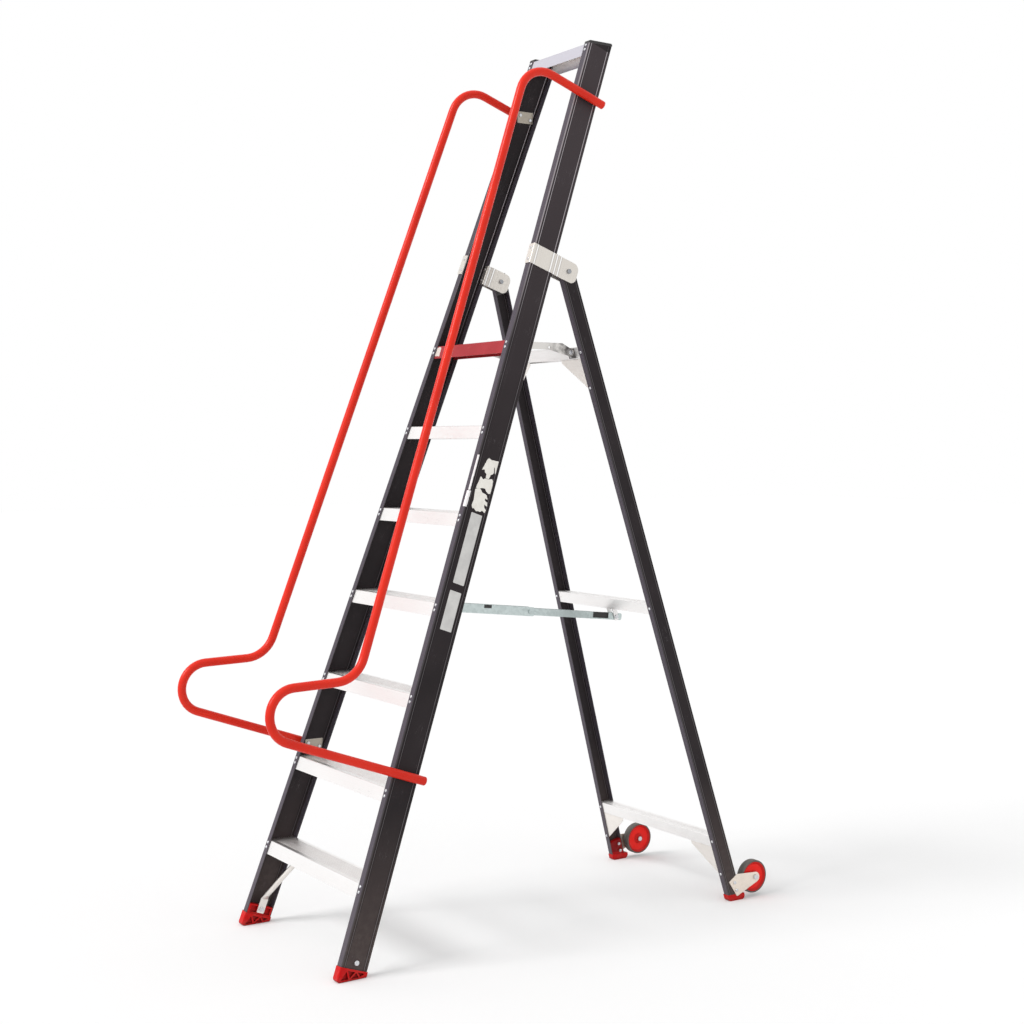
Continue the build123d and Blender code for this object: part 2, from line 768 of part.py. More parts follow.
# Brace: a tube from the shoe bolt to the back of the lowest tread, flattened at both ends
tab_top = shoe_bolt_up - brace_tab_width / 2 + brace_tab_length
low_flat = front.side.from_local_coords(
    (shoe_bolt_back, tab_top - brace_tab_corner, -front_flange - brace_flat / 2)
)
low_round = front.side.from_local_coords(
    (shoe_bolt_back, brace_low_up, -front_flange - brace_flat / 2 - brace_radius)
)
leg_inside = bar_back - bar_skin
high_flat = front.face.from_local_coords(
    (brace_x, brace_up - brace_high_tab / 3, -(leg_inside - brace_flat / 2))
)
high_round = front.face.from_local_coords(
    (brace_x + brace_flat, brace_up - brace_high_tab * 1.4, -(leg_inside - brace_flat / 2 - brace_radius))
)
brace_way = (high_round - low_round).normalized()


def round_end(origin, across):
    """Plane square to the brace, turned so that its X follows the flattened end."""
    level = across - brace_way * across.dot(brace_way)
    return Plane(origin=origin, x_dir=level, z_dir=brace_way)


with BuildPart() as right_foot_brace:
    with BuildSketch(front.side.offset(-front_flange)):
        with Locations((shoe_bolt_back, tab_top - brace_tab_length / 2)):
            RectangleRounded(brace_tab_width, brace_tab_length, brace_tab_corner)
    extrude(amount=-brace_flat)
    with BuildSketch(Plane(origin=low_flat, x_dir=front.side.x_dir, z_dir=front.side.y_dir)):
        Ellipse(brace_tab_width / 2, brace_flat / 2)
    with BuildSketch(round_end(low_round, front.side.x_dir)):
        Circle(brace_radius)
    loft()
    with BuildSketch(round_end(low_round, front.side.x_dir)):
        Circle(brace_radius)
    extrude(amount=(high_round - low_round).length)
    with BuildSketch(round_end(high_round, front.face.x_dir)):
        Circle(brace_radius)
    with BuildSketch(Plane(origin=high_flat, x_dir=front.face.x_dir, z_dir=front.face.y_dir)):
        Ellipse(brace_tab_width / 2, brace_flat / 2)
    loft()
    with BuildSketch(front.face.offset(brace_flat - leg_inside)):
        with Locations((brace_x, brace_up)):
            Rectangle(brace_tab_width, brace_high_tab)
    extrude(amount=-brace_flat)
    drill_side(
        front, [shoe_bolt_spot], shoe_bolt_radius + hole_clearance,
        cut_past, front_flange + brace_flat + cut_past,
    )
    with BuildSketch(facing_back(front, bar_back)):
        with Locations((-brace_x, brace_up)):
            Circle(rivet_radius + hole_clearance)
    extrude(amount=-(bar_skin + brace_flat + cut_past), mode=Mode.SUBTRACT)

left_foot_brace = left_of(right_foot_brace)

# Angle behind the nosing that the front edge of the platform rests on
rest_y = at_height(front, rest_top, bar_back)[0]
with BuildPart() as platform_rest:
    with BuildSketch(Plane.YZ):
        Polygon(
            at_height(front, rest_top, bar_back), (rest_y + rest_reach, rest_top),
            (rest_y + rest_reach, rest_top - rest_thickness),
            at_height(front, rest_top - rest_thickness, bar_back + rest_thickness),
            at_height(front, rest_top - rest_height, bar_back + rest_thickness),
            at_height(front, rest_top - rest_height, bar_back), align=None,
        )
    extrude(amount=rest_half_width, both=True)
    with BuildSketch(facing_back(front, bar_back + rest_thickness)):
        with Locations(*rest_spots):
            Circle(rivet_radius + hole_clearance)
    extrude(amount=-(rest_thickness + cut_past), mode=Mode.SUBTRACT)

# Bracket on the back of a tread for the front end of the stay
stay_front_back = bar_back + stay_ear_thickness + front_link_height / 2 + stay_end_gap
stay_front_height = tread_tops[stay_front_tread - 1] - stay_front_drop
stay_front_spot = at_height(front, stay_front_height, stay_front_back)
stay_front_up = up_slope(front, stay_front_height, stay_front_back)
stay_ear_x = front_link_width / 2 + stay_gap
with BuildPart() as stay_bracket:
    with BuildSketch(facing_back(front, bar_back)):
        with Locations((0, stay_base_up)):
            Rectangle(2 * stay_base_half_width, bar_leg)
        with Locations(*stay_spots):
            Circle(rivet_radius + hole_clearance, mode=Mode.SUBTRACT)
    extrude(amount=stay_ear_thickness)
    with BuildSketch(Plane.YZ.offset(stay_ear_x)):
        with Locations(stay_front_spot):
            Circle(stay_ear_radius)
        with Locations(*[
            in_frame(front, stay_base_up + step * bar_leg / 3, bar_back + stay_ear_thickness)
            for step in (-1, 1)
        ]):
            Circle(stay_ear_thickness)
        make_hull()
    extrude(amount=stay_ear_thickness)
    mirror(stay_bracket.part, about=Plane.YZ)
    drill_across(stay_front_spot, stay_pin_radius + hole_clearance, -front_link_width, front_link_width)

stay_ear_outside = stay_ear_x + stay_ear_thickness + fit
stay_front_pin = cross_pin(
    stay_front_spot, stay_pin_radius, stay_pin_head_radius, stay_pin_head, -stay_ear_outside, stay_ear_outside
)

# Rivets that hold the straps, inner lugs, braces, rest angle and stay bracket
with BuildPart() as bracket_rivets:
    with Locations(*[
        front.face.offset(strap_thickness) * Pos(hand * across, up)
        for across, up in strap_rivet_spots
        for hand in (1, -1)
    ]):
        add(rivet(strap_thickness + front_wall).part)
    for spots, plate, grip in (
        (lug_rivet_spots, front_wall, front_wall + strap_thickness),
        (brace_spots, 0, bar_skin + brace_flat),
        (rest_spots, rest_thickness, bar_skin + rest_thickness),
        (stay_spots, stay_ear_thickness, bar_skin + stay_ear_thickness),
    ):
        with Locations(*[facing_back(front, bar_back + plate) * Pos(across, up) for across, up in spots]):
            add(rivet(grip).part)

# Rear frame
rear_top = rear_pivot_up / cosd(rear_taper) + stile_over_pivot
plate_bolt_spots = [(plate_bolt_back, plate_bolt_high), (plate_bolt_back, plate_bolt_low)]


def gusset_ends(top):
    """Upper and lower ends of a gusset up the slope, just under the bar at that height."""
    high = up_slope(rear, top - rear_bar_leg, rear_wall + bar_skin)
    return high, high - gusset_height


gusset_spots = [
    (hand * stile_x(rear, low + gusset_rivet_up, rear_rivet_inset), low + gusset_rivet_up)
    for high, low in (gusset_ends(upper_bar_top), gusset_ends(lower_bar_top))
    for hand in (1, -1)
]

with BuildPart() as right_rear_stile:
    add(channel(rear, 0, rear_top, rear_corner).part)
    split(bisect_by=Plane.XY.offset(rear_shoe_top), keep=Keep.TOP)
    drill_rivets(rear, rear_rivet_heights)
    with BuildSketch(rear.face):
        with Locations(*gusset_spots):
            Circle(rivet_radius + hole_clearance)
    extrude(amount=-(rear_wall + cut_past), mode=Mode.SUBTRACT)
    drill_side(rear, plate_bolt_spots, plate_bolt_radius + hole_clearance, cut_past, rear_wall + cut_past)
    drill_across(pivot_spot, pivot_radius + run_clearance, 0, rear_half_width)

left_rear_stile = left_of(right_rear_stile)

# Places on the bars for the platform ears, as across and up on the front of the upper bar
ear_inside = deck_half_width - deck_flange - ear_gap - ear_thickness
ear_base_x = ear_inside + ear_thickness - ear_base_width / 2
ear_rivet_spots = [
    (hand * (ear_base_x - ear_thickness), ear_up + step * ear_foot_spread * 0.7)
    for hand in (1, -1)
    for step in (1, -1)
]

upper_bar = cross_bar(rear, upper_bar_top, rear_bar_leg, rear_rivet_heights)
with BuildPart() as upper_crossbar:
    add(upper_bar.part)
    with BuildSketch(rear.face.offset(-rear_wall)):
        with Locations(*ear_rivet_spots):
            Circle(rivet_radius + hole_clearance)
    extrude(amount=-(bar_skin + cut_past), mode=Mode.SUBTRACT)
middle_crossbar = cross_bar(rear, middle_bar_top, rear_bar_leg, rear_rivet_heights)
lower_crossbar = cross_bar(rear, lower_bar_top, rear_bar_leg, rear_rivet_heights)


def gusset_pair(top):
    """Corner plates that butt against the underside of a bar and lie behind the stile flanges."""
    high, low = gusset_ends(top)
    high_x = stile_x(rear, high, rear_wall + fit)
    low_x = stile_x(rear, low, rear_wall + fit)
    with BuildPart() as pair:
        with BuildSketch(rear.face.offset(-rear_wall)) as outline:
            Polygon(
                (high_x - gusset_width, high), (high_x, high), (low_x, low),
                (low_x - gusset_blunt, low), (high_x - gusset_width, high - gusset_blunt), align=None,
            )
            with Locations(*gusset_spots):
                Circle(rivet_radius + hole_clearance, mode=Mode.SUBTRACT)
        extrude(outline.sketch, amount=-bar_skin)
        mirror(about=Plane.YZ)
    return pair


upper_gussets = gusset_pair(upper_bar_top)
lower_gussets = gusset_pair(lower_bar_top)

with BuildPart() as rear_rivets:
    for plane, back in ((rear.face, 0), (facing_back(rear, rear_depth), rear_depth)):
        spots = rivet_spots(rear, rear_rivet_heights, back)
        with Locations(*[plane * Pos(across, up) for across, up in spots]):
            add(rivet(rear_wall + bar_skin).part)
    with Locations(*[rear.face * Pos(across, up) for across, up in gusset_spots]):
        add(rivet(rear_wall + bar_skin).part)
    with Locations(*[
        rear.face.offset(ear_thickness - rear_wall) * Pos(across, up) for across, up in ear_rivet_spots
    ]):
        add(rivet(ear_thickness + bar_skin).part)

# Plastic block in the top of the rear stile that turns on the hinge bolt
with BuildPart() as right_hinge_block:
    with BuildSketch(rear.section.offset(rear_top - block_length)):
        with Locations((-rear_wall - fit, rear_depth / 2)):
            Rectangle(
                rear_flange - rear_wall - fit, rear_depth - 2 * rear_wall - 2 * fit,
                align=(Align.MAX, Align.CENTER),
            )
    extrude(amount=block_length)
    drill_across(pivot_spot, pivot_radius + run_clearance, 0, rear_half_width)

left_hinge_block = left_of(right_hinge_block)

# Red shoe under the rear stile
with BuildPart() as rear_insert:
    with BuildSketch(rear.section):
        with Locations((-rear_wall - fit, rear_depth / 2)):
            Rectangle(
                rear_flange - rear_wall - fit, rear_depth - 2 * rear_wall - 2 * fit,
                align=(Align.MAX, Align.CENTER),
            )
    extrude(amount=rear_insert_up)
    split(bisect_by=Plane.XY.offset(rear_shoe_top), keep=Keep.TOP)

with BuildPart() as right_rear_shoe:
    with BuildSketch(Plane.YZ):
        Polygon(
            at_height(rear, rear_shoe_top, -rear_shoe_front),
            at_height(rear, rear_shoe_top, rear_depth + rear_shoe_back),
            at_height(rear, 0, rear_depth + rear_shoe_back),
            at_height(rear, 0, -rear_shoe_front), align=None,
        )
    extrude(amount=rear_half_width + rear_flange)
    shoe_edges = right_rear_shoe.edges().filter_by(Axis.X).group_by(Axis.Z)
    fillet(shoe_edges[-1], radius=rear_shoe_rounding)
    sole_edges = right_rear_shoe.edges().filter_by(Axis.X).group_by(Axis.Z)[0].sort_by(Axis.Y)
    fillet(sole_edges[0], radius=rear_toe_rounding)
    fillet(sole_edges[-1], radius=rear_heel_rounding)
    split(bisect_by=rear.side.offset(-fit), keep=Keep.BOTTOM)
    split(bisect_by=rear.side.offset(-rear_flange - shoe_rim), keep=Keep.TOP)
    add(rear_insert.part)
    drill_side(rear, plate_bolt_spots, plate_bolt_radius + hole_clearance, cut_past, rear_flange + cut_past)

left_rear_shoe = left_of(right_rear_shoe)

# Wheel plate on the outside of the rear stile
axle_spot = (axle_y, axle_back * sind(rear_lean) + axle_up * cosd(rear_taper) * cosd(rear_lean))
plate_x = rear.side.from_local_coords((axle_back, axle_up, 0)).X
plate_outside = rear.side.from_local_coords((axle_back, axle_up, wheel_plate)).X
wheel_outside = plate_x - wheel_gap
wheel_inside = wheel_outside - tyre_width

with BuildPart() as right_wheel_plate:
    with BuildSketch(rear.side):
        with Locations(plate_top_front, plate_top_back, plate_bottom):
            Circle(plate_corner)
        with Locations((axle_back, axle_up)):
            Circle(plate_nose)
        make_hull()
    extrude(amount=wheel_plate)
    drill_side(rear, plate_bolt_spots, plate_bolt_radius + hole_clearance, wheel_plate + cut_past, cut_past)
    drill_across(axle_spot, axle_radius + hole_clearance, wheel_outside, plate_outside + plate_nose)

left_wheel_plate = left_of(right_wheel_plate)

with BuildPart() as wheel_plate_bolts:
    with Locations(*[rear.side.offset(wheel_plate) * Pos(back, up) for back, up in plate_bolt_spots]):
        add(
            side_bolt(
                plate_bolt_radius, plate_bolt_head_radius, plate_bolt_head,
                wheel_plate + rear_flange, plate_bolt_head * 1.5,
            ).part
        )
    mirror(about=Plane.YZ)

right_axle = cross_pin(
    axle_spot, axle_radius, axle_head_radius, axle_head, wheel_inside - head_gap, plate_outside + head_gap
)
with BuildPart() as wheel_axles:
    add(right_axle.part)
    mirror(right_axle.part, about=Plane.YZ)

# Wheels: a red hub and a dark tyre, turned about the axle
wheel_section = Plane(origin=(0, *axle_spot), x_dir=(1, 0, 0), z_dir=(0, 0, 1))
axle_line = Axis((0, *axle_spot), (1, 0, 0))
wheel_middle = (wheel_inside + wheel_outside) / 2
bore = axle_radius + run_clearance
hub_edge = tyre_inner - hole_clearance

with BuildPart() as right_wheel_hub:
    with BuildSketch(wheel_section):
        with Locations((wheel_middle, 0)):
            with Locations((0, bore)):
                Rectangle(tyre_width, hub_boss - bore, align=(Align.CENTER, Align.MIN))
            with Locations((0, hub_boss)):
                Rectangle(
                    tyre_width - 2 * hub_dish, hub_edge - hub_rim - hub_boss, align=(Align.CENTER, Align.MIN)
                )
            with Locations((0, hub_edge)):
                Rectangle(tyre_width, hub_rim, align=(Align.CENTER, Align.MAX))
    revolve(axis=axle_line)

with BuildPart() as right_wheel_tyre:
    with BuildSketch(wheel_section) as tyre_outline:
        with Locations((wheel_middle, tyre_inner)):
            Rectangle(tyre_width, tyre_radius - tyre_inner, align=(Align.CENTER, Align.MIN))
        fillet(tyre_outline.vertices().group_by(Axis.Y)[-1], radius=tyre_rounding)
    revolve(axis=axle_line)

left_wheel_hub = left_of(right_wheel_hub)
left_wheel_tyre = left_of(right_wheel_tyre)

# Ears on the upper rear bar that carry the platform
platform_pivot = at_height(rear, platform_top - platform_pivot_drop, -platform_pivot_ahead)

with BuildPart() as platform_ears:
    with BuildSketch(Plane.YZ.offset(ear_inside)):
        with Locations(platform_pivot):
            Circle(ear_radius)
        with Locations(*[
            in_frame(rear, ear_up + step * ear_foot_spread, rear_wall - ear_foot_radius) for step in (-1, 1)
        ]):
            Circle(ear_foot_radius)
        make_hull()
    extrude(amount=ear_thickness)
    with BuildSketch(rear.face.offset(-rear_wall)):
        with Locations((ear_base_x, ear_up)):
            Rectangle(ear_base_width, 2 * (ear_foot_spread + ear_foot_radius))
        with Locations(*ear_rivet_spots):
            Circle(rivet_radius + hole_clearance, mode=Mode.SUBTRACT)
    extrude(amount=ear_thickness)
    drill_across(platform_pivot, pivot_radius + hole_clearance, 0, deck_half_width)
    mirror(about=Plane.YZ)

right_platform_pin = cross_pin(
    platform_pivot, pivot_radius, pivot_head_radius, pivot_head * 0.8, ear_inside - fit, deck_half_width + fit
)
with BuildPart() as platform_pins:
    add(right_platform_pin.part)
    mirror(right_platform_pin.part, about=Plane.YZ)

# Platform: a ribbed deck between two side flanges that run back to the pivots
deck_front = at_height(front, platform_top, bar_back)[0] + deck_gap
deck_rear = platform_pivot[0] - deck_rear_gap
deck_depth = deck_rear - deck_front
deck_grooves = int((deck_depth - 2 * smooth_band) / groove_pitch) + 1


def from_pivot(ahead, up):
    """Y and Z of a point given ahead of the platform's pivot and above it."""
    return (platform_pivot[0] - ahead, platform_pivot[1] + up)


with BuildPart() as platform_deck:
    with BuildSketch(Plane.XY.offset(platform_top)):
        with Locations((0, (deck_front + deck_rear) / 2)):
            Rectangle(2 * deck_half_width, deck_depth)
    extrude(amount=-deck_thickness)
    with BuildSketch(Plane.YZ):
        with Locations(((deck_front + deck_rear) / 2, platform_top)):
            with GridLocations(groove_pitch, groove_pitch, deck_grooves, 1):
                Rectangle(groove_width, 2 * groove_depth)
    extrude(amount=deck_half_width, both=True, mode=Mode.SUBTRACT)
    with Locations((0, (deck_front + deck_rear + rest_reach) / 2, platform_top - deck_thickness)):
        with GridLocations(deck_rib_spacing, deck_depth, 3, 1):
            Box(
                deck_rib_width, deck_depth - 3 * rest_reach, deck_rib,
                align=(Align.CENTER, Align.CENTER, Align.MAX),
            )
    flange_front = platform_pivot[0] - deck_front - deck_flange_front
    flange_low = platform_pivot_drop - deck_flange_height
    with BuildSketch(Plane.YZ.offset(deck_half_width - deck_flange)):
        Polygon(
            from_pivot(flange_front, platform_pivot_drop), from_pivot(deck_rear_gap, platform_pivot_drop),
            from_pivot(0, tongue_radius), from_pivot(0, -tongue_radius),
            from_pivot(tongue_slope_start, flange_low), from_pivot(flange_front, flange_low), align=None,
        )
        with Locations(platform_pivot):
            Circle(tongue_radius)
            Circle(pivot_radius + run_clearance, mode=Mode.SUBTRACT)
        with Locations(from_pivot(flange_hole_ahead, flange_hole_up)):
            Circle(flange_hole, mode=Mode.SUBTRACT)
    extrude(amount=deck_flange)
    mirror(about=Plane.YZ)

# Jointed stay: the links lie in line when open, and the knee drops as the frames close
fold = front_lean + rear_lean
stay_rear_spot = at_height(rear, middle_bar_top - stay_rear_drop, stay_rear_back)
reach_y = stay_rear_spot[0] - pivot_y
reach_z = stay_rear_spot[1] - pivot_height
closed_y = pivot_y + reach_y * cosd(fold) + reach_z * sind(fold)
closed_z = pivot_height - reach_y * sind(fold) + reach_z * cosd(fold)
closed_rear = front.face.to_local_coords(Vector(0, closed_y, closed_z))
stay_length = hypot(
    stay_rear_spot[0] - stay_front_spot[0], stay_rear_spot[1] - stay_front_spot[1]
)

# The closed knee lies at a set depth behind the face, which shares the length between the links
rise_apart = stay_front_up - closed_rear.Y
front_apart = knee_behind_pin
rear_apart = -closed_rear.Z - stay_front_back - knee_behind_pin
share = (stay_length**2 + front_apart**2 - rise_apart**2 - rear_apart**2) / (2 * stay_length)
skew = rise_apart / stay_length
knee_drop = (
    share * skew + sqrt((share * skew) ** 2 + (1 - skew**2) * (share**2 - front_apart**2))
) / (1 - skew**2)
front_link_length = hypot(knee_drop, front_apart)
rear_link_length = stay_length - front_link_length

stay_way = (
    0,
    (stay_rear_spot[0] - stay_front_spot[0]) / stay_length,
    (stay_rear_spot[1] - stay_front_spot[1]) / stay_length,
)
stay_plane = Plane(origin=(0, *stay_front_spot), x_dir=stay_way, z_dir=(1, 0, 0))
knee_at = stay_plane.from_local_coords((front_link_length, 0, 0))
knee_spot = (knee_at.Y, knee_at.Z)
knee_plane = Plane(origin=knee_at, x_dir=stay_way, z_dir=(1, 0, 0))


def stay_link(plane, length, past, width, height):
    """Link open along its top, round at its near end, on a plane that starts at its near pivot."""
    with BuildPart() as link:
        with BuildSketch(plane) as outline:
            Rectangle(length + past, height, align=(Align.MIN, Align.CENTER))
            fillet(outline.vertices().group_by(Axis.X)[-1], radius=height / 4)
            Circle(height / 2)
        extrude(outline.sketch, amount=width / 2, both=True)
        with BuildSketch(plane) as hollow:
            with Locations((-height, stay_wall - height / 2)):
                Rectangle(length + past + 2 * height, height, align=(Align.MIN, Align.MIN))
        extrude(hollow.sketch, amount=width / 2 - stay_wall, both=True, mode=Mode.SUBTRACT)
    return link


with BuildPart() as stay_front_link:
    add(
        stay_link(
            stay_plane, front_link_length, front_link_past_knee, front_link_width, front_link_height
        ).part
    )
    drill_across(stay_front_spot, stay_pin_radius + run_clearance, -front_link_width, front_link_width)
    drill_across(knee_spot, stay_pin_radius + hole_clearance, -front_link_width, front_link_width)

knee_outside = front_link_width / 2 + fit
stay_knee_pin = cross_pin(
    knee_spot, stay_pin_radius, stay_pin_head_radius, stay_pin_head, -knee_outside, knee_outside
)

# Rear link with its walls cut away where the latch block shows
latch_middle = rear_link_length - latch_ahead - latch_length / 2
latch_floor = stay_wall - rear_link_height / 2
latch_height = rear_link_height - stay_wall - latch_sunk
with BuildPart() as stay_rear_link:
    add(stay_link(knee_plane, rear_link_length, rear_link_tail, rear_link_width, rear_link_height).part)
    drill_across(knee_spot, stay_pin_radius + run_clearance, -rear_link_width, rear_link_width)
    drill_across(stay_rear_spot, stay_pin_radius + hole_clearance, -rear_link_width, rear_link_width)
    with BuildSketch(knee_plane):
        with Locations((latch_middle, latch_floor + window_frame / 2)):
            Rectangle(latch_length - 2 * window_frame, rear_link_height, align=(Align.CENTER, Align.MIN))
    extrude(amount=rear_link_width, both=True, mode=Mode.SUBTRACT)

with BuildPart() as stay_latch:
    with BuildSketch(knee_plane):
        with Locations((latch_middle, latch_floor)):
            Rectangle(latch_length, latch_height, align=(Align.CENTER, Align.MIN))
    extrude(amount=rear_link_width / 2 - stay_wall - hole_clearance, both=True)
    fillet(stay_latch.edges().filter_by(Axis.X), radius=window_frame / 2)

# Hanger under the middle bar: two hooks, open to the rear, that the stay's end pin sits in
hanger_x = rear_link_width / 2 + hanger_gap
hanger_outside = hanger_x + hanger_thickness
hanger_top = middle_bar_top - bar_skin
stay_rear_up = up_slope(rear, stay_rear_spot[1], stay_rear_back)
slot_half = stay_pin_radius + rest_clearance
slot_drop = 2 * (hanger_back - stay_rear_back + slot_half) * tand(hanger_slot_slope)
slot_run = 2 * (hanger_back - stay_rear_back + slot_half)

with BuildPart() as stay_hanger:
    with BuildSketch(Plane.YZ.offset(hanger_x)):
        Polygon(
            at_height(rear, hanger_top, hanger_front), at_height(rear, hanger_top, hanger_back),
            in_frame(rear, stay_rear_up - hanger_below, hanger_back),
            in_frame(rear, stay_rear_up - hanger_below, hanger_front), align=None,
        )
        Polygon(
            in_frame(rear, stay_rear_up + slot_half, stay_rear_back),
            in_frame(rear, stay_rear_up + slot_half, stay_rear_back + slot_run),
            in_frame(rear, stay_rear_up - slot_half - slot_drop, stay_rear_back + slot_run),
            in_frame(rear, stay_rear_up - slot_half, stay_rear_back), align=None, mode=Mode.SUBTRACT,
        )
        with Locations(stay_rear_spot):
            Circle(slot_half, mode=Mode.SUBTRACT)
    extrude(amount=hanger_thickness)
    mirror(about=Plane.YZ)
    with BuildSketch(Plane.YZ):
        Polygon(
            at_height(rear, hanger_top, hanger_front), at_height(rear, hanger_top, hanger_back),
            at_height(rear, hanger_top - hanger_thickness, hanger_back),
            at_height(rear, hanger_top - hanger_thickness, hanger_front), align=None,
        )
    extrude(amount=hanger_outside, both=True)

stay_end_pin = cross_pin(
    stay_rear_spot, stay_pin_radius, stay_pin_head_radius, stay_pin_head,
    -hanger_outside - rest_clearance, hanger_outside + rest_clearance,
)

# Every piece is written under its own name
pieces = {
    "right_front_stile": right_front_stile,
    "left_front_stile": left_front_stile,
    "platform_nosing": platform_nosing,
    "top_bar": top_bar,
    "tread_rivets": tread_rivets,
    "right_stile_cap": right_stile_cap,
    "left_stile_cap": left_stile_cap,
    "right_hinge_strap": right_hinge_strap,
    "left_hinge_strap": left_hinge_strap,
    "hinge_bolts": hinge_bolts,
    "bracket_rivets": bracket_rivets,
    "right_handrail": right_handrail,
    "left_handrail": left_handrail,
    "rail_plugs": rail_plugs,
    "rail_saddles": rail_saddles,
    "rail_backing_plates": rail_backing_plates,
    "rail_bolts": rail_bolts,
    "right_front_shoe": right_front_shoe,
    "left_front_shoe": left_front_shoe,
    "shoe_bolts": shoe_bolts,
    "right_foot_brace": right_foot_brace,
    "left_foot_brace": left_foot_brace,
    "platform_rest": platform_rest,
    "stay_bracket": stay_bracket,
    "stay_front_pin": stay_front_pin,
    "right_rear_stile": right_rear_stile,
    "left_rear_stile": left_rear_stile,
    "upper_crossbar": upper_crossbar,
    "middle_crossbar": middle_crossbar,
    "lower_crossbar": lower_crossbar,
    "upper_gussets": upper_gussets,
    "lower_gussets": lower_gussets,
    "rear_rivets": rear_rivets,
    "right_hinge_block": right_hinge_block,
    "left_hinge_block": left_hinge_block,
    "right_rear_shoe": right_rear_shoe,
    "left_rear_shoe": left_rear_shoe,
    "right_wheel_plate": right_wheel_plate,
    "left_wheel_plate": left_wheel_plate,
    "wheel_plate_bolts": wheel_plate_bolts,
    "wheel_axles": wheel_axles,
    "right_wheel_hub": right_wheel_hub,
    "left_wheel_hub": left_wheel_hub,
    "right_wheel_tyre": right_wheel_tyre,
    "left_wheel_tyre": left_wheel_tyre,
    "platform_ears": platform_ears,
    "platform_pins": platform_pins,
    "platform_deck": platform_deck,
    "stay_front_link": stay_front_link,
    "stay_knee_pin": stay_knee_pin,
    "stay_rear_link": stay_rear_link,
    "stay_latch": stay_latch,
    "stay_hanger": stay_hanger,
    "stay_end_pin": stay_end_pin,
}
for step, tread in enumerate(treads):
    pieces["tread_" + str(step + 1)] = tread

os.makedirs("parts", exist_ok=True)
for name, piece in pieces.items():
    piece.part.label = name
    export_step(piece.part, "parts/" + name + ".step")
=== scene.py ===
# %% [markdown]
# # Dressing a set of platform steps
# The steps come in as a fixed frame of aluminium stiles, treads, rails and wheels, already at their real
# size. This lesson gives every piece its finish, adds the small pieces that only the eye needs, and sets
# up the light and the camera. Nothing that carries load is moved or resized here.

# %% Load the frame
import json
import math

import bmesh
import bpy
from mathutils import Matrix, Quaternion, Vector
from mathutils.noise import noise_vector, seed_set


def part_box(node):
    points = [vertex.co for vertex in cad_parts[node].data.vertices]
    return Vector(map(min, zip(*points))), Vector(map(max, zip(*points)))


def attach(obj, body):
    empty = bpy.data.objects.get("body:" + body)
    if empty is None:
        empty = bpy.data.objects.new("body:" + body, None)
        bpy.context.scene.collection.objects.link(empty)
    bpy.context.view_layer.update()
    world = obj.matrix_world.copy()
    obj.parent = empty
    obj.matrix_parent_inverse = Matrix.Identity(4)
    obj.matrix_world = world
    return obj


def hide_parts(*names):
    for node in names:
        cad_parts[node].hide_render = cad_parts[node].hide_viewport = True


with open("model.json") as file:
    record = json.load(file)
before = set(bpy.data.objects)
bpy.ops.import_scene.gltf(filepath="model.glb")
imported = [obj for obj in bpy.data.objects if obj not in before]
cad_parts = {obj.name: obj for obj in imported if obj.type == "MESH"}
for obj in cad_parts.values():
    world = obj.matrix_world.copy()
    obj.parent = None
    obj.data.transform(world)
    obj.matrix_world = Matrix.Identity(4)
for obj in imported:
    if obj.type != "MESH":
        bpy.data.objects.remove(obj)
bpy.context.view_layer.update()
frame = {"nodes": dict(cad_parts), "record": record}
nodes = frame["nodes"]
mm = 0.001

# %% [markdown]
# ## Directions on the two frames
# Every stile leans and tapers, so grain, marks and strips follow the stile and not the world. An empty
# that is turned along each stile could give a material its directions, but the finish would then depend on
# a second object. So a stile's own directions are found once from its two angles: back from the face, up
# along it, and outwards. The rear frame leans the other way, so its lean is negative.

# %% Stile directions
stile_angles = {
    "front": (math.radians(19.55), math.radians(3.25)),
    "rear": (math.radians(-16.5), math.radians(3.36)),
}
right_hand, left_hand = 1, -1


def stile_axes(part, hand):
    """Back, up and outward directions of a stile's outer face."""
    lean, taper = stile_angles[part]
    up_face = Vector((0, math.sin(lean), math.cos(lean)))
    back = Vector((0, math.cos(lean), -math.sin(lean)))
    across = Vector((hand, 0, 0))
    outward = across * math.cos(taper) + up_face * math.sin(taper)
    up = up_face * math.cos(taper) - across * math.sin(taper)
    return back, up, outward


def stile_turn(part, hand):
    """Angles that turn a pattern: X down a stile, Y to the climber's right and Z to the front."""
    back, up, outward = stile_axes(part, hand)
    return Matrix((-up, outward * hand, -back)).to_euler("XYZ")


stile_rise = stile_axes("front", right_hand)[1]
print("A front stile rises along", [round(share, 3) for share in stile_rise])

# %% [markdown]
# ## Helpers for node trees
# A material is a small graph of nodes. It could be drawn by hand in the shader editor, but a script can be
# read and run again. These helpers place a node, set its inputs by name and return it, so that each finish
# below reads as a list of effects and not as pages of socket numbers.


# %% Node helpers
def put(tree, kind, inputs=None, **settings):
    """Adds a node. An input is given a value, or the socket that feeds it."""
    node = tree.nodes.new(kind)
    for name, value in settings.items():
        setattr(node, name, value)
    for name, value in (inputs or {}).items():
        if isinstance(value, bpy.types.NodeSocket):
            tree.links.new(value, node.inputs[name])
        else:
            node.inputs[name].default_value = value
    return node


def maths(tree, operation, first, second=0.0, clamp=False):
    """One sum on two values."""
    node = put(tree, "ShaderNodeMath", {0: first, 1: second}, operation=operation, use_clamp=clamp)
    return node.outputs["Value"]


def times(tree, first, second):
    """One value times another."""
    return maths(tree, "MULTIPLY", first, second)


def vector_maths(tree, operation, first, second=(0, 0, 0), output="Vector"):
    """One sum on two vectors. A distance or a dot product comes out as Value."""
    node = put(tree, "ShaderNodeVectorMath", {0: first, 1: second}, operation=operation)
    return node.outputs[output]


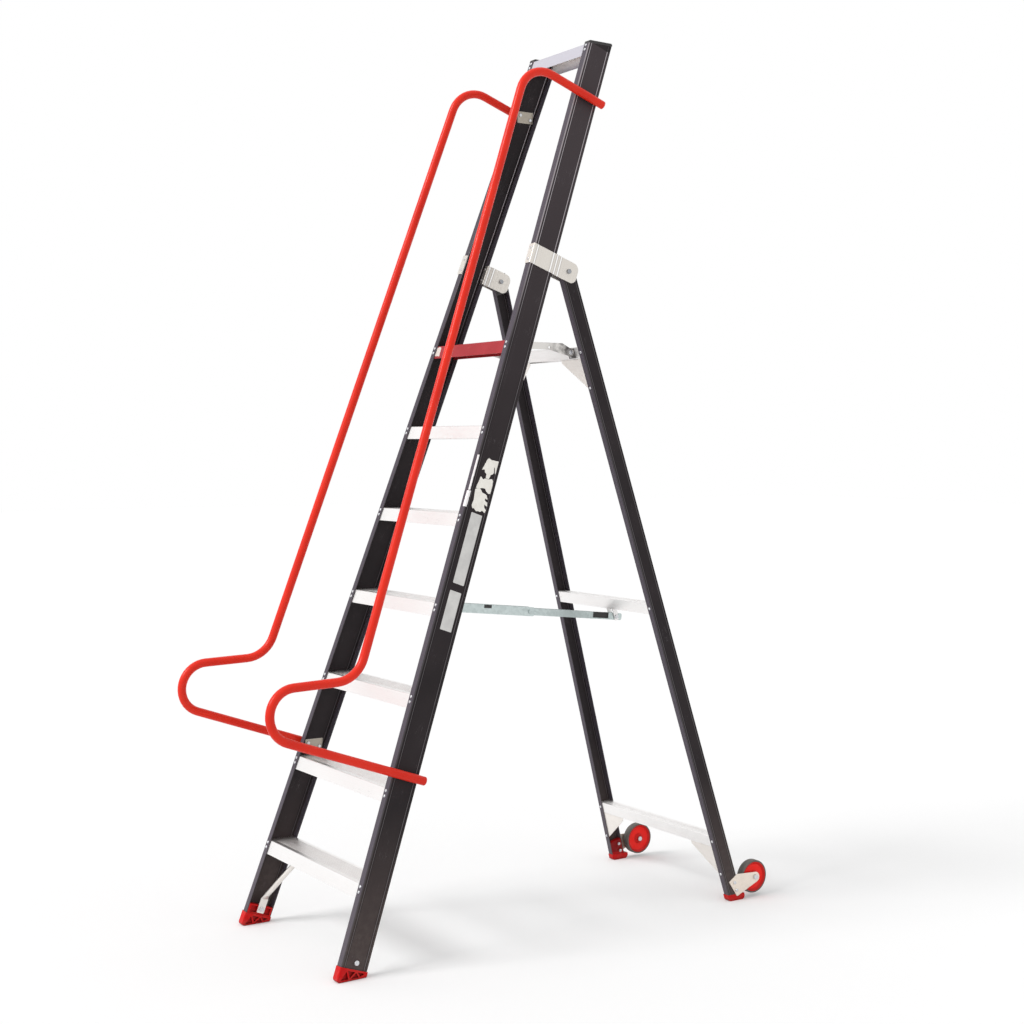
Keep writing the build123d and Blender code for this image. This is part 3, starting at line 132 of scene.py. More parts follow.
def part_of(tree, vector, axis):
    """One part of a vector: X, Y or Z."""
    return put(tree, "ShaderNodeSeparateXYZ", {0: vector}).outputs[axis]


print("Helpers for nodes and sums are ready")


# %% Pattern and colour helpers
def spread(tree, value, low, high, to_low=0.0, to_high=1.0):
    """Stretches a range of values onto another, and holds it there."""
    inputs = {"Value": value, "From Min": low, "From Max": high, "To Min": to_low, "To Max": to_high}
    return put(tree, "ShaderNodeMapRange", inputs).outputs["Result"]


def blend_colours(tree, share, first, second):
    """Mixes two colours by a mask."""
    node = put(tree, "ShaderNodeMix", {0: share, 6: first, 7: second}, data_type="RGBA")
    return node.outputs[2]


def noise(tree, place, scale, detail=3.0, roughness=0.5):
    """Cloudy values from 0 to 1, with scale in clouds per metre."""
    inputs = {"Vector": place, "Scale": scale, "Detail": detail, "Roughness": roughness}
    return put(tree, "ShaderNodeTexNoise", inputs).outputs["Fac"]


def colour(red, green, blue):
    """A screen colour, given from 0 to 255, as the shader's own light values."""
    def light(value):
        share = value / 255
        return share / 12.92 if share <= 0.04045 else ((share + 0.055) / 1.055) ** 2.4

    return (light(red), light(green), light(blue), 1.0)


print("Middle grey on a screen is", round(colour(128, 128, 128)[0], 3), "of full light")

# %% [markdown]
# ## Shared effects
# Some effects come back in many finishes: the lines that a die leaves along an extrusion, worn edges with
# a painted highlight, settled dust, thin scratches, and painted shade in crevices. They could be painted as
# pictures, but a picture has to be unwrapped onto each piece and blurs up close. Here each effect is a node
# group with named inputs, made once and placed in each finish with its own values.


# %% Group helper
def new_group(name, inputs, outputs):
    """An empty effect with named inputs and outputs."""
    tree = bpy.data.node_groups.new(name, "ShaderNodeTree")
    for socket, kind, value in inputs:
        made = tree.interface.new_socket(socket, in_out="INPUT", socket_type=kind)
        if value is not None:
            made.default_value = value
    for socket, kind in outputs:
        tree.interface.new_socket(socket, in_out="OUTPUT", socket_type=kind)
    return tree, tree.nodes.new("NodeGroupInput").outputs, tree.nodes.new("NodeGroupOutput").inputs


def put_out(tree, result, **outputs):
    """Connects what an effect puts out."""
    for name, socket in outputs.items():
        tree.links.new(socket, result[name])
    print("Made the effect", tree.name)


number, direction = "NodeSocketFloat", "NodeSocketVector"
noise_low, noise_high = 0.3, 0.7
print("Most noise lies between", noise_low, "and", noise_high)

# %% [markdown]
# A die drags straight lines along an extrusion. Noise that is drawn out along X gives these lines, and a
# second, wide noise clouds the colour.

# %% Die lines
die_lines, given, result = new_group(
    "Die lines",
    [("Vector", direction, None), ("Lines per metre", number, 500.0), ("Drawn out", number, 0.01)],
    [("Line", number), ("Cloud", number)],
)
clouds_per_metre = 6.0
long_way = put(die_lines, "ShaderNodeCombineXYZ", {"X": given["Drawn out"], "Y": 1.0, "Z": 1.0}).outputs[0]
drawn = vector_maths(die_lines, "MULTIPLY", given["Vector"], long_way)
line = noise(die_lines, drawn, given["Lines per metre"], detail=4.0, roughness=0.65)
cloud = noise(die_lines, given["Vector"], clouds_per_metre, detail=4.0)
line, cloud = [spread(die_lines, field, noise_low, noise_high) for field in (line, cloud)]
put_out(die_lines, result, Line=line, Cloud=cloud)

# %% [markdown]
# Hands, boots and straps rub an edge first, and a rounded edge also catches the light. A bevel could round
# every edge of the mesh, but the Bevel node rounds only how the edge looks. Where its normal leaves the
# surface's own, there is an edge. The pale tone that a finish lays there stands for worn coating and for a
# painted highlight.

# %% Rubbed and lit edges
rubbed_and_lit_edges, given, result = new_group(
    "Rubbed and lit edges",
    [("Vector", direction, None), ("Width", number, 0.001), ("Patches per metre", number, 30.0)],
    [("Edge", number), ("Rounded", direction)],
)
flat_agrees, edge_agrees = 0.995, 0.86
patch_low, patch_high = 0.3, 0.52
rounded = put(rubbed_and_lit_edges, "ShaderNodeBevel", {"Radius": given["Width"]}, samples=6).outputs[0]
surface = put(rubbed_and_lit_edges, "ShaderNodeNewGeometry").outputs["Normal"]
agreement = vector_maths(rubbed_and_lit_edges, "DOT_PRODUCT", rounded, surface, "Value")
edge = spread(rubbed_and_lit_edges, agreement, flat_agrees, edge_agrees)
patches = noise(rubbed_and_lit_edges, given["Vector"], given["Patches per metre"], detail=5.0)
patch = spread(rubbed_and_lit_edges, patches, patch_low, patch_high)
put_out(rubbed_and_lit_edges, result, Edge=times(rubbed_and_lit_edges, edge, patch), Rounded=rounded)

# %% [markdown]
# Dust lies on what faces up, and builds up near the floor. The height and the normal tell where that is,
# and noise breaks the layer into specks.

# %% Settled dust
settled_dust, given, result = new_group(
    "Settled dust",
    [("Vector", direction, None), ("Normal", direction, None), ("Floor reach", number, 0.3)],
    [("Dust", number)],
)
tilted, level, top_share = 0.4, 1.0, 0.6
specks_per_metre, speck_low, speck_high = 45.0, 0.42, 0.68
height = part_of(settled_dust, given["Vector"], "Z")
upward = part_of(settled_dust, given["Normal"], "Z")
on_top = spread(settled_dust, upward, tilted, level, 0.0, top_share)
near_floor = spread(settled_dust, maths(settled_dust, "DIVIDE", height, given["Floor reach"]), 1.0, 0.0)
specks = noise(settled_dust, given["Vector"], specks_per_metre, detail=6.0, roughness=0.7)
layer = maths(settled_dust, "MAXIMUM", on_top, near_floor)
speckle = spread(settled_dust, specks, speck_low, speck_high)
put_out(settled_dust, result, Dust=times(settled_dust, layer, speckle))

# %% [markdown]
# A scratch is a hairline. Where stretched noise passes through its middle value it draws long thin curves,
# and a second noise breaks them off. A small slant keeps them nearly straight.

# %% Thin scratches
thin_scratches, given, result = new_group(
    "Thin scratches",
    [("Vector", direction, None), ("Across per metre", number, 160.0), ("Slant", number, 0.05)],
    [("Scratch", number)],
)
drawn_out, hair_edge, hair_core = (0.06, 1.0, 1.0), 0.006, 0.001
breaks_per_metre, break_low, break_high = 14.0, 0.52, 0.66
slanted = put(thin_scratches, "ShaderNodeVectorRotate", {"Vector": given["Vector"], "Angle": given["Slant"]})
stretched = vector_maths(thin_scratches, "MULTIPLY", slanted.outputs[0], drawn_out)
field = noise(thin_scratches, stretched, given["Across per metre"], detail=2.0)
off_middle = maths(thin_scratches, "ABSOLUTE", maths(thin_scratches, "SUBTRACT", field, 0.5))
hairline = spread(thin_scratches, off_middle, hair_edge, hair_core)
breaks = noise(thin_scratches, given["Vector"], breaks_per_metre, detail=4.0)
unbroken = spread(thin_scratches, breaks, break_low, break_high)
put_out(thin_scratches, result, Scratch=times(thin_scratches, hairline, unbroken))

# %% [markdown]
# Corners and pockets get less light, and a painted shade darkens them. The Ambient Occlusion node measures
# how closed a spot is, within a reach that fits the piece.

# %% Crevice shade
crevice_shade, given, result = new_group(
    "Crevice shade", [("Vector", direction, None), ("Reach", number, 0.01)], [("Grime", number)]
)
shade_blots_per_metre, thinnest_shade, open_spot, closed_spot = 80.0, 0.65, 0.85, 0.4
occlusion = put(crevice_shade, "ShaderNodeAmbientOcclusion", {"Distance": given["Reach"]}, samples=8)
closed = spread(crevice_shade, occlusion.outputs["AO"], open_spot, closed_spot)
blots = noise(crevice_shade, given["Vector"], shade_blots_per_metre, detail=4.0)
uneven = spread(crevice_shade, blots, noise_low, noise_high, thinnest_shade, 1.0)
put_out(crevice_shade, result, Grime=times(crevice_shade, closed, uneven))

# %% [markdown]
# ## A finish to start from
# Each material has one Principled BSDF, which stands in the material itself. The coordinates are the
# piece's own Object coordinates, in metres, so a pattern keeps its real scale and stays on the piece. A UV
# map would need unwrapping, and gains nothing on parts that are all extruded, cut or moulded.


# %% Finish helper
class Finish:
    """A material with its shader, its coordinates and its edge effect at hand."""

    def __init__(self, name, edge, turn=None):
        self.material = bpy.data.materials.new(name)
        self.material.use_nodes = True
        self.tree = self.material.node_tree
        self.tree.nodes.clear()
        self.shader = put(self.tree, "ShaderNodeBsdfPrincipled")
        put(self.tree, "ShaderNodeOutputMaterial", {"Surface": self.shader.outputs[0]})
        coordinates = put(self.tree, "ShaderNodeTexCoord")
        self.place = coordinates.outputs["Object"]
        self.normal = coordinates.outputs["Normal"]
        self.along = self.place
        if turn is not None:
            turned = put(self.tree, "ShaderNodeMapping", {"Vector": self.place, "Rotation": turn})
            self.along = turned.outputs[0]
        self.edges = self.effect(rubbed_and_lit_edges, {"Vector": self.place, "Width": edge})

    def effect(self, group, inputs):
        """Places one of the shared effects."""
        return put(self.tree, "ShaderNodeGroup", inputs, node_tree=group).outputs

    def tint(self, shade, mask, share, tone):
        """Lays a tone over a shade, by a share of a mask."""
        return blend_colours(self.tree, times(self.tree, mask, share), shade, tone)

    def dust(self, floor_reach=0.3):
        """The dust on this finish, which reaches some metres up from the floor."""
        inputs = {"Vector": self.place, "Normal": self.normal, "Floor reach": floor_reach}
        return self.effect(settled_dust, inputs)["Dust"]

    def fix(self, **values):
        """Sets plain shader values, such as Metallic, on the shader's own sockets."""
        for name, value in values.items():
            self.shader.inputs[name.replace("_", " ")].default_value = value

    def feed(self, name, socket):
        """Feeds a shader input from a pattern."""
        self.tree.links.new(socket, self.shader.inputs[name])

    def relief(self, height, depth, strength):
        """Small relief on top of the rounded edges, with its depth in metres."""
        inputs = {"Height": height, "Distance": depth, "Strength": strength, "Normal": self.edges["Rounded"]}
        self.feed("Normal", put(self.tree, "ShaderNodeBump", inputs).outputs[0])


print("A finish starts with its shader, its coordinates and its rubbed edges")


# %% Dress helper
def dress(finish, *names):
    """Gives a finish to pieces of the frame."""
    for name in names:
        nodes[name].data.materials.clear()
        nodes[name].data.materials.append(finish.material)
    print(finish.material.name, "on", ", ".join(names))


print("The frame has", len(nodes), "pieces to dress")

# %% [markdown]
# ## Pressed lines
# Along both sides of a stile's web the die leaves a raised bead, and the hinge straps have pressed folds.
# Both are only a few millimetres wide. They could be modelled, but the shapes of stiles and straps belong
# to the frame. So an effect finds the crest of a line and the foot on each side of it, from the depth on
# the piece, and counts in half widths of the line. A finish paints a highlight on the crest and shade at
# the foot.

# %% Pressed lines
pressed_line, given, result = new_group(
    "Pressed line",
    [("Vector", direction, None), ("Place", number, 0.0), ("Half width", number, 0.001)],
    [("Crest", number), ("Foot", number)],
)
crest_end, crest_full, foot_end, foot_full = 1.0, 0.4, 2.6, 1.6
depth_place = part_of(pressed_line, given["Vector"], "Z")
off_line = maths(pressed_line, "ABSOLUTE", maths(pressed_line, "SUBTRACT", depth_place, given["Place"]))
widths_off = maths(pressed_line, "DIVIDE", off_line, given["Half width"])
crest = spread(pressed_line, widths_off, crest_end, crest_full)
beside = spread(pressed_line, widths_off, foot_end, foot_full)
foot = maths(pressed_line, "SUBTRACT", beside, crest, clamp=True)
put_out(pressed_line, result, Crest=crest, Foot=foot)

# %% [markdown]
# ## Torn rests and chips
# On the near stile a plain paper strip was once stuck round the front corner and torn off, and the nosing
# has lost a chip of its coating. Both are too thin to model, so they are a mask in the finish: a box, with
# its distance made ragged by noise.

# %% Torn rests
torn_rest, given, result = new_group(
    "Torn rest",
    [("Vector", direction, None), ("Middle", direction, None), ("Half size", direction, None),
     ("Ragged", number, 0.004)],
    [("Paper", number)],
)
tears_per_metre, tear_blur = 130.0, 0.3 * mm
apart = vector_maths(
    torn_rest, "ABSOLUTE", vector_maths(torn_rest, "SUBTRACT", given["Vector"], given["Middle"])
)
past = vector_maths(torn_rest, "SUBTRACT", apart, given["Half size"])
past_up, past_out, past_back = [part_of(torn_rest, past, axis) for axis in "XYZ"]
reach = maths(torn_rest, "MAXIMUM", maths(torn_rest, "MAXIMUM", past_up, past_out), past_back)
tears = noise(torn_rest, given["Vector"], tears_per_metre, detail=5.0, roughness=0.6)
tear = times(torn_rest, maths(torn_rest, "SUBTRACT", tears, 0.5), given["Ragged"])
torn_edge = maths(torn_rest, "ADD", reach, tear)
put_out(torn_rest, result, Paper=spread(torn_rest, torn_edge, tear_blur, -tear_blur))

# %% [markdown]
# ## Dark coating of the stiles
# The four stiles are extruded channels with a satin dark brown coating. It is a thin hard skin, so the
# shader is not metallic and reflects little. One even brown would be simpler. Scratches, worn edges and
# dust show years of use. The upper outer face and the foot are lighter, the front face carries a paler
# painted sheen, the bead crests and the upper front corner carry a painted highlight, and the lower front
# corner and the feet of the beads carry a painted shade. Under each cap a band stays dark as the cap's
# painted shadow. All of it is placed by height and by depth on the stile.

# %% Places on a stile
foot_corners_mm = {"front": (318.6, -681.52), "rear": (313.67, 718.11)}


def depth_on_stile(part, hand, back):
    """Where a line lies in a stile's turned pattern, from millimetres back from its front edge."""
    across, along = foot_corners_mm[part]
    corner = stile_turn(part, hand).to_matrix() @ (Vector((across * hand, along, 0)) * mm)
    return corner.z - back * mm


def line_at(skin, part, hand, back, half_width):
    """A pressed line that runs along a stile, some millimetres back from its front edge."""
    place = depth_on_stile(part, hand, back)
    return skin.effect(pressed_line, {"Vector": skin.along, "Place": place, "Half width": half_width})


def facing(finish, way):
    """How far a surface faces a given way, from -1 to 1."""
    return vector_maths(finish.tree, "DOT_PRODUCT", finish.normal, way, "Value")


print("The near stile's front edge lies at depth", round(depth_on_stile("front", right_hand, 0), 4))

# %% Painted light and lighter tones on a stile
# Painted highlight on the bead crests and the upper front corner, strongest between these heights.
highlight_from, highlight_to, highlight_least = 1.75, 2.05, 0.16
# The outer face is lighter on its upper part, and every face is lighter at the foot.
upper_from, upper_to, upper_share = 1.3, 2.3, 0.8
low_end_from, low_end_to, low_end_share = 0.45, 0.05, 0.75
# The band under each cap is left dark as the cap's painted shadow.
cap_shadow_band, band_blur = 27 * mm, 2 * mm
front_start, front_full, outer_start, outer_full = 0.6, 0.95, 0.2, 0.7


def below_cap(skin, hand):
    """The length of a front stile below the band under its cap, which is left dark as the cap's painted
    shadow.
    """
    stile = nodes[("right" if hand == right_hand else "left") + "_front_stile"]
    turn = stile_turn("front", hand).to_matrix()
    band_end = min((turn @ corner.co).x for corner in stile.data.vertices) + cap_shadow_band
    return spread(skin.tree, part_of(skin.tree, skin.along, "X"), band_end - band_blur, band_end)


def stile_wear(skin, part, hand):
    """Masks of a stile: its front face for the painted sheen, its painted highlight, its lighter upper outer
    face and its lighter foot.
    """
    tree = skin.tree
    back_way, _, out_way = stile_axes(part, hand)
    height = part_of(tree, skin.place, "Z")
    front_face = spread(tree, facing(skin, -back_way), front_start, front_full)
    low_end_lighter = spread(tree, height, low_end_from, low_end_to, 0.0, low_end_share)
    crest_highlight, upper_lighter = highlight_least, 0.0
    if part == "front":
        free = below_cap(skin, hand)
        outer_face = spread(tree, facing(skin, out_way), outer_start, outer_full)
        crest_highlight = times(tree, spread(tree, height, highlight_from, highlight_to, highlight_least, 1.0), free)
        upper_lighter = times(tree, spread(tree, height, upper_from, upper_to, 0.0, upper_share), outer_face)
        upper_lighter = times(tree, upper_lighter, free)
    return front_face, crest_highlight, upper_lighter, low_end_lighter


# The stiles are lighter on the upper outer face from the first height up, and at the foot below the second.
print("Hands rub the stiles from", upper_from, "m up, and boots scuff them below", low_end_from, "m")

# %% Lines on a stile
# Painted shade on the low corner line and beside the beads, painted highlight on the crests.
line_shade, bead_highlight = colour(16, 13, 14), colour(190, 183, 187)
corner_line_mm, corner_half, corner_share = 2.2, 2.6 * mm, 0.75
bead_places_mm, bead_half = {"front": (11, 73), "rear": (8, 42)}, 1.6 * mm
bead_foot_share, bead_rise = 0.6, 5.0


def with_stile_lines(skin, part, hand, tone, relief, front_face, crest_highlight):
    """Adds the corner line, a painted shade low down and a painted highlight high up, and the two beads,
    with a painted highlight on each crest and a painted shade at their feet, to a stile's tone and to its
    relief.
    """
    tree = skin.tree
    corner_line = line_at(skin, part, hand, corner_line_mm, corner_half)["Crest"]
    corner_line = times(tree, corner_line, maths(tree, "SUBTRACT", 1.0, front_face))
    tone = skin.tint(tone, corner_line, corner_share, blend_colours(tree, crest_highlight, line_shade, bead_highlight))
    for back in bead_places_mm[part]:
        bead = line_at(skin, part, hand, back, bead_half)
        tone = skin.tint(tone, bead["Foot"], bead_foot_share, line_shade)
        tone = skin.tint(tone, bead["Crest"], crest_highlight, bead_highlight)
        relief = maths(tree, "ADD", relief, times(tree, bead["Crest"], bead_rise))
    return tone, relief


print("The beads lie", bead_places_mm, "mm back from the front edge")

# %% Stile coating
stile_dark, stile_brown = colour(38, 33, 35), colour(48, 42, 44)
# Lighter upper and foot tones, and a paler painted sheen on the front face.
upper_tone, low_end_tone, front_sheen = colour(72, 64, 67), colour(84, 73, 71), colour(88, 82, 91)
worn_and_lit_metal, rest_white, stile_dust = colour(140, 134, 138), colour(252, 250, 250), colour(170, 160, 148)
front_sheen_share, stile_scratch, stile_edge, stile_dusty = 0.85, 0.35, 0.6, 0.08
stile_smooth, stile_rough, rest_rough, stile_gloss = 0.38, 0.52, 0.85, 0.13


def stile_coating(name, part, hand, rests=()):
    """Satin dark coating with its grain along the stile, its painted light and shade, and any rests of torn
    paper.
    """
    skin = Finish(name, edge=1.2 * mm, turn=stile_turn(part, hand))
    tree = skin.tree
    lines = skin.effect(die_lines, {"Vector": skin.along, "Lines per metre": 700.0})
    scratch = skin.effect(thin_scratches, {"Vector": skin.along, "Across per metre": 170.0})["Scratch"]
    front_face, crest_highlight, upper_lighter, low_end_lighter = stile_wear(skin, part, hand)
    tone = blend_colours(tree, lines["Cloud"], stile_dark, stile_brown)
    tone = blend_colours(tree, upper_lighter, tone, upper_tone)
    tone = blend_colours(tree, low_end_lighter, tone, low_end_tone)
    tone = skin.tint(tone, front_face, front_sheen_share, front_sheen)
    tone = skin.tint(tone, scratch, stile_scratch, worn_and_lit_metal)
    # Pale edges stand for worn coating and for a painted highlight.
    tone = skin.tint(tone, skin.edges["Edge"], stile_edge, worn_and_lit_metal)
    tone, relief = with_stile_lines(skin, part, hand, tone, lines["Line"], front_face, crest_highlight)
    tone = skin.tint(tone, skin.dust(), stile_dusty, stile_dust)
    rough = spread(tree, lines["Line"], 0.0, 1.0, stile_smooth, stile_rough)
    for middle, half in rests:
        inputs = {"Vector": skin.along, "Middle": middle, "Half size": half}
        rest = skin.effect(torn_rest, inputs)["Paper"]
        tone = blend_colours(tree, rest, tone, rest_white)
        rough = maths(tree, "MAXIMUM", rough, times(tree, rest, rest_rough))
    skin.feed("Base Color", tone)
    skin.feed("Roughness", rough)
    skin.fix(Specular_IOR_Level=stile_gloss)
    skin.relief(relief, depth=0.06 * mm, strength=0.35)
    return skin


print("The coating runs from roughness", stile_smooth, "to", stile_rough)

# %% Coat the four stiles
foot_corner = Vector((*foot_corners_mm["front"], 0)) * mm
near_turn = stile_turn("front", right_hand)


def on_near_stile(up, back, outward):
    """A point on the near stile's outer face, from millimetres up it and back from its front edge."""
    back_way, up_way, out_way = stile_axes("front", right_hand)
    return foot_corner + (back_way * back + up_way * up + out_way * outward) * mm


corner_rests_mm = [((1453, 0.8, -1.2), (53, 3.2, 3.0)), ((1374, 1.0, -3.0), (24, 6, 7))]
rests = [
    (near_turn.to_matrix() @ on_near_stile(*middle), Vector((half_up, half_out, half_back)) * mm)
    for middle, (half_up, half_back, half_out) in corner_rests_mm
]
dress(stile_coating("dark_coating_near", "front", right_hand, rests), "right_front_stile")
dress(stile_coating("dark_coating_far", "front", left_hand), "left_front_stile")
dress(stile_coating("dark_coating_rear_near", "rear", right_hand), "right_rear_stile")
dress(stile_coating("dark_coating_rear_far", "rear", left_hand), "left_rear_stile")

# %% [markdown]
# ## Painted shade, grease and painted highlights on bare metal
# The floors of the treads' grip grooves get a painted shade. Black grease is smeared round the platform's
# pins, and its grey also paints the shade near the pivot. The inside of the top bar gets painted light, and
# the hinge straps' pressed folds get a painted highlight on the crest and a painted shade beside it. These
# marks could be painted by hand, but each has a plain place: a height within a step, a distance from a
# pin, a closed hollow, or a depth on the stile. So each is a small function that adds its mark to a shade
# of metal.

# %% Groove floors
groove_floor, given, result = new_group("Groove floor", [("Vector", direction, None)], [("Floor", number)])
tread_spacing, groove_depth, level_slack = 250 * mm, 1.2 * mm, 0.1 * mm
floor_start, floor_full, floor_past = 0.3 * mm, 0.9 * mm, 0.6 * mm
tread_height = maths(groove_floor, "SUBTRACT", part_of(groove_floor, given["Vector"], "Z"), level_slack)
over_step = maths(groove_floor, "MODULO", tread_height, tread_spacing)
below_top = maths(groove_floor, "SUBTRACT", tread_spacing, over_step)
deep_enough = spread(groove_floor, below_top, floor_start, floor_full)
not_deeper = spread(groove_floor, below_top, groove_depth + floor_past, groove_depth + floor_start)
put_out(groove_floor, result, Floor=times(groove_floor, deep_enough, not_deeper))

# %% Painted shade in grooves and painted light in hollows
groove_shade_brown, groove_shade_share, groove_rough = colour(138, 127, 119), 0.3, 0.12
hollow_light_white, hollow_light_at = colour(255, 252, 249), 0.5


def with_groove_dirt(metal, shade, rough):
    """Painted shade on the floors of the grip grooves."""
    shaded_floor = metal.effect(groove_floor, {"Vector": metal.place})["Floor"]
    grooved_rough = maths(metal.tree, "ADD", rough, times(metal.tree, shaded_floor, groove_rough))
    return metal.tint(shade, shaded_floor, groove_shade_share, groove_shade_brown), grooved_rough


def with_clean_hollow(metal, shade, hollow):
    """Painted light: bright metal inside a hollow, where shade falls."""
    inside = metal.effect(crevice_shade, {"Vector": metal.place, "Reach": hollow})["Grime"]
    return blend_colours(metal.tree, spread(metal.tree, inside, 0.0, hollow_light_at), shade, hollow_light_white)


# The groove floors' painted shade shows by this share.
print("Groove dirt shows by", groove_shade_share)

# %% Grease with painted shade, and folds with painted highlights
# The grease grey also paints the shade near the pivot.
grease_shade_dark, grease_shade_share, grease_shade_end, grease_shade_full = colour(96, 92, 92), 0.9, 100 * mm, 20 * mm
smears_per_metre, smear_low, smear_high = 60.0, 0.35, 0.6
# A fold gets a painted highlight on its crest and a painted shade beside it.
fold_highlight, fold_shadow, fold_share, fold_half = colour(255, 255, 255), colour(176, 170, 165), 0.5, 2.4 * mm


def off_cross_line(finish, line):
    """Distance from a line that runs straight across the steps, given by its Y and Z."""
    upright = vector_maths(finish.tree, "MULTIPLY", finish.place, (0, 1, 1))
    return vector_maths(finish.tree, "DISTANCE", upright, (0, *line), "Value")


def with_grease(metal, shade, pin_line):
    """Smeared grease round a pin that runs across the steps, whose grey also paints the shade near the
    pivot.
    """
    near_pin = spread(metal.tree, off_cross_line(metal, pin_line), grease_shade_end, grease_shade_full)
    smears = noise(metal.tree, metal.place, smears_per_metre, detail=5.0, roughness=0.6)
    smear = times(metal.tree, near_pin, spread(metal.tree, smears, smear_low, smear_high))
    return metal.tint(shade, smear, grease_shade_share, grease_shade_dark)


def with_fold(metal, shade, part, hand, back):
    """A pressed fold along the stile, with a painted highlight on its crest and a painted shade beside it.
    """
    fold = line_at(metal, part, hand, back, fold_half)
    return blend_colours(
        metal.tree, fold["Crest"], metal.tint(shade, fold["Foot"], fold_share, fold_shadow), fold_highlight
    )


# The grease and its painted shade reach this far from the pins.
print("Grease reaches", grease_shade_end, "m from the pins")

# %% [markdown]
# ## Bare aluminium
# Treads, crossbars, gussets, braces and hinge straps are plain mill-finish aluminium. The metal is almost
# white. A Metallic of 1 alone would look like chrome, and what makes it read as extruded metal is the fine
# die grain along each bar. So the grain drives the colour, the roughness and a very small relief, along X
# on the bars and along the stile on the straps.

# %% Bare aluminium finish
mill_tone, dulling = (251, 249, 248), 13
hair_grey, metal_dust, bright_edge = colour(160, 158, 157), colour(160, 150, 140), colour(252, 251, 250)
line_share, cloud_share, metal_scratch, metal_dusty, metal_edge = 0.5, 0.3, 0.4, 0.16, 0.7
metal_smoother, metal_rougher = 0.06, 0.08


def bare_aluminium(
    name, lines_per_metre=900.0, tone=mill_tone, rough=0.36, metallic=1.0, groove_shade=False,
    lit_hollow=None, grease_and_shade_at=None, folded=None,
):
    """Mill-finish aluminium with die lines. A folded piece is given as its part, its hand and its folds."""
    metal = Finish(name, edge=0.9 * mm, turn=stile_turn(*folded[:2]) if folded else None)
    lines = metal.effect(
        die_lines, {"Vector": metal.along, "Lines per metre": lines_per_metre, "Drawn out": 0.012}
    )
    scratch = metal.effect(thin_scratches, {"Vector": metal.along, "Slant": 0.09})["Scratch"]
    bright, dull = colour(*tone), colour(*[level - dulling for level in tone])
    shade = metal.tint(bright, lines["Line"], line_share, dull)
    shade = metal.tint(shade, lines["Cloud"], cloud_share, dull)
    shade = metal.tint(shade, scratch, metal_scratch, hair_grey)
    shade = metal.tint(shade, metal.dust(), metal_dusty, metal_dust)
    shade = metal.tint(shade, metal.edges["Edge"], metal_edge, bright_edge)
    smooth_line, rough_line = rough - metal_smoother, rough + metal_rougher
    grain_rough = spread(metal.tree, lines["Line"], 0.0, 1.0, smooth_line, rough_line)
    if groove_shade:
        shade, grain_rough = with_groove_dirt(metal, shade, grain_rough)
    if lit_hollow:
        shade = with_clean_hollow(metal, shade, lit_hollow)
    if grease_and_shade_at:
        shade = with_grease(metal, shade, grease_and_shade_at)
    if folded:
        part, hand, folds_mm = folded
        for back in folds_mm:
            shade = with_fold(metal, shade, part, hand, back)
    metal.feed("Base Color", shade)
    metal.feed("Roughness", grain_rough)
    metal.fix(Metallic=metallic)
    metal.relief(lines["Line"], depth=0.05 * mm, strength=0.3)
    return metal


print("Dull lines are", dulling, "levels darker than the metal's", mill_tone)

# %% Dress the bars and treads
tread_names = ["tread_" + str(step) for step in range(1, 7)]
# The treads' groove floors get a painted shade.
dress(bare_aluminium("bare_aluminium_treads", groove_shade=True), *tread_names)
dress(
    bare_aluminium("bare_aluminium_bars", metallic=0.6),
    "platform_rest", "upper_crossbar", "middle_crossbar", "lower_crossbar", "stay_hanger",
)
pin_low, pin_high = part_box("platform_pins")
pin_middle = (pin_low + pin_high) / 2
# Grease and painted shade round the platform's pins.
deck_metal = bare_aluminium(
    "bare_aluminium_deck", tone=(224, 221, 217), grease_and_shade_at=(pin_middle.y, pin_middle.z)
)
dress(deck_metal, "platform_deck")
# Painted light inside the top bar's hollow.
guard_metal = bare_aluminium(
    "bare_aluminium_guard", tone=(194, 192, 201), rough=0.5, metallic=0.0, lit_hollow=45 * mm
)
dress(guard_metal, "top_bar")

# %% Dress the plates and braces
dress(
    bare_aluminium("bare_aluminium_gussets", tone=(250, 245, 240), rough=0.42),
    "upper_gussets", "lower_gussets",
)
# The straps' folds get a painted highlight and a painted shade.
strap_folds_mm = (12, 72, 87, 102)
for side, hand in (("right", right_hand), ("left", left_hand)):
    strap_metal = bare_aluminium(
        "bare_aluminium_strap_" + side, lines_per_metre=420.0, tone=(225, 220, 213), rough=0.46,
        folded=("front", hand, strap_folds_mm),
    )
    dress(strap_metal, side + "_hinge_strap")
dress(
    bare_aluminium("bare_aluminium_plates", lines_per_metre=300.0, tone=(242, 231, 219), rough=0.44),
    "right_wheel_plate", "left_wheel_plate",
)
dress(
    bare_aluminium("bare_aluminium_braces", tone=(238, 233, 228), rough=0.38),
    "right_foot_brace", "left_foot_brace",
)
dress(bare_aluminium("bare_aluminium_backing", tone=(176, 168, 156), rough=0.4), "rail_backing_plates")

# %% [markdown]
# ## Zinc-plated steel
# The stay, its pins, and all bolts and rivets are steel with a thin zinc plating. Zinc has a cooler,
# slightly blue-green cast, and where it was hot dipped it shows pale crystal flakes. Noise would give soft
# clouds, while a flake has straight sides, so each flake is a Voronoi cell.

# %% Zinc finish
flake_step, stain_grey = 12, colour(140, 144, 142)
zinc_smoother, zinc_rougher = 0.05, 0.1
stains_per_metre, stain_low, stain_high, stain_share = 25.0, 0.55, 0.75, 0.25


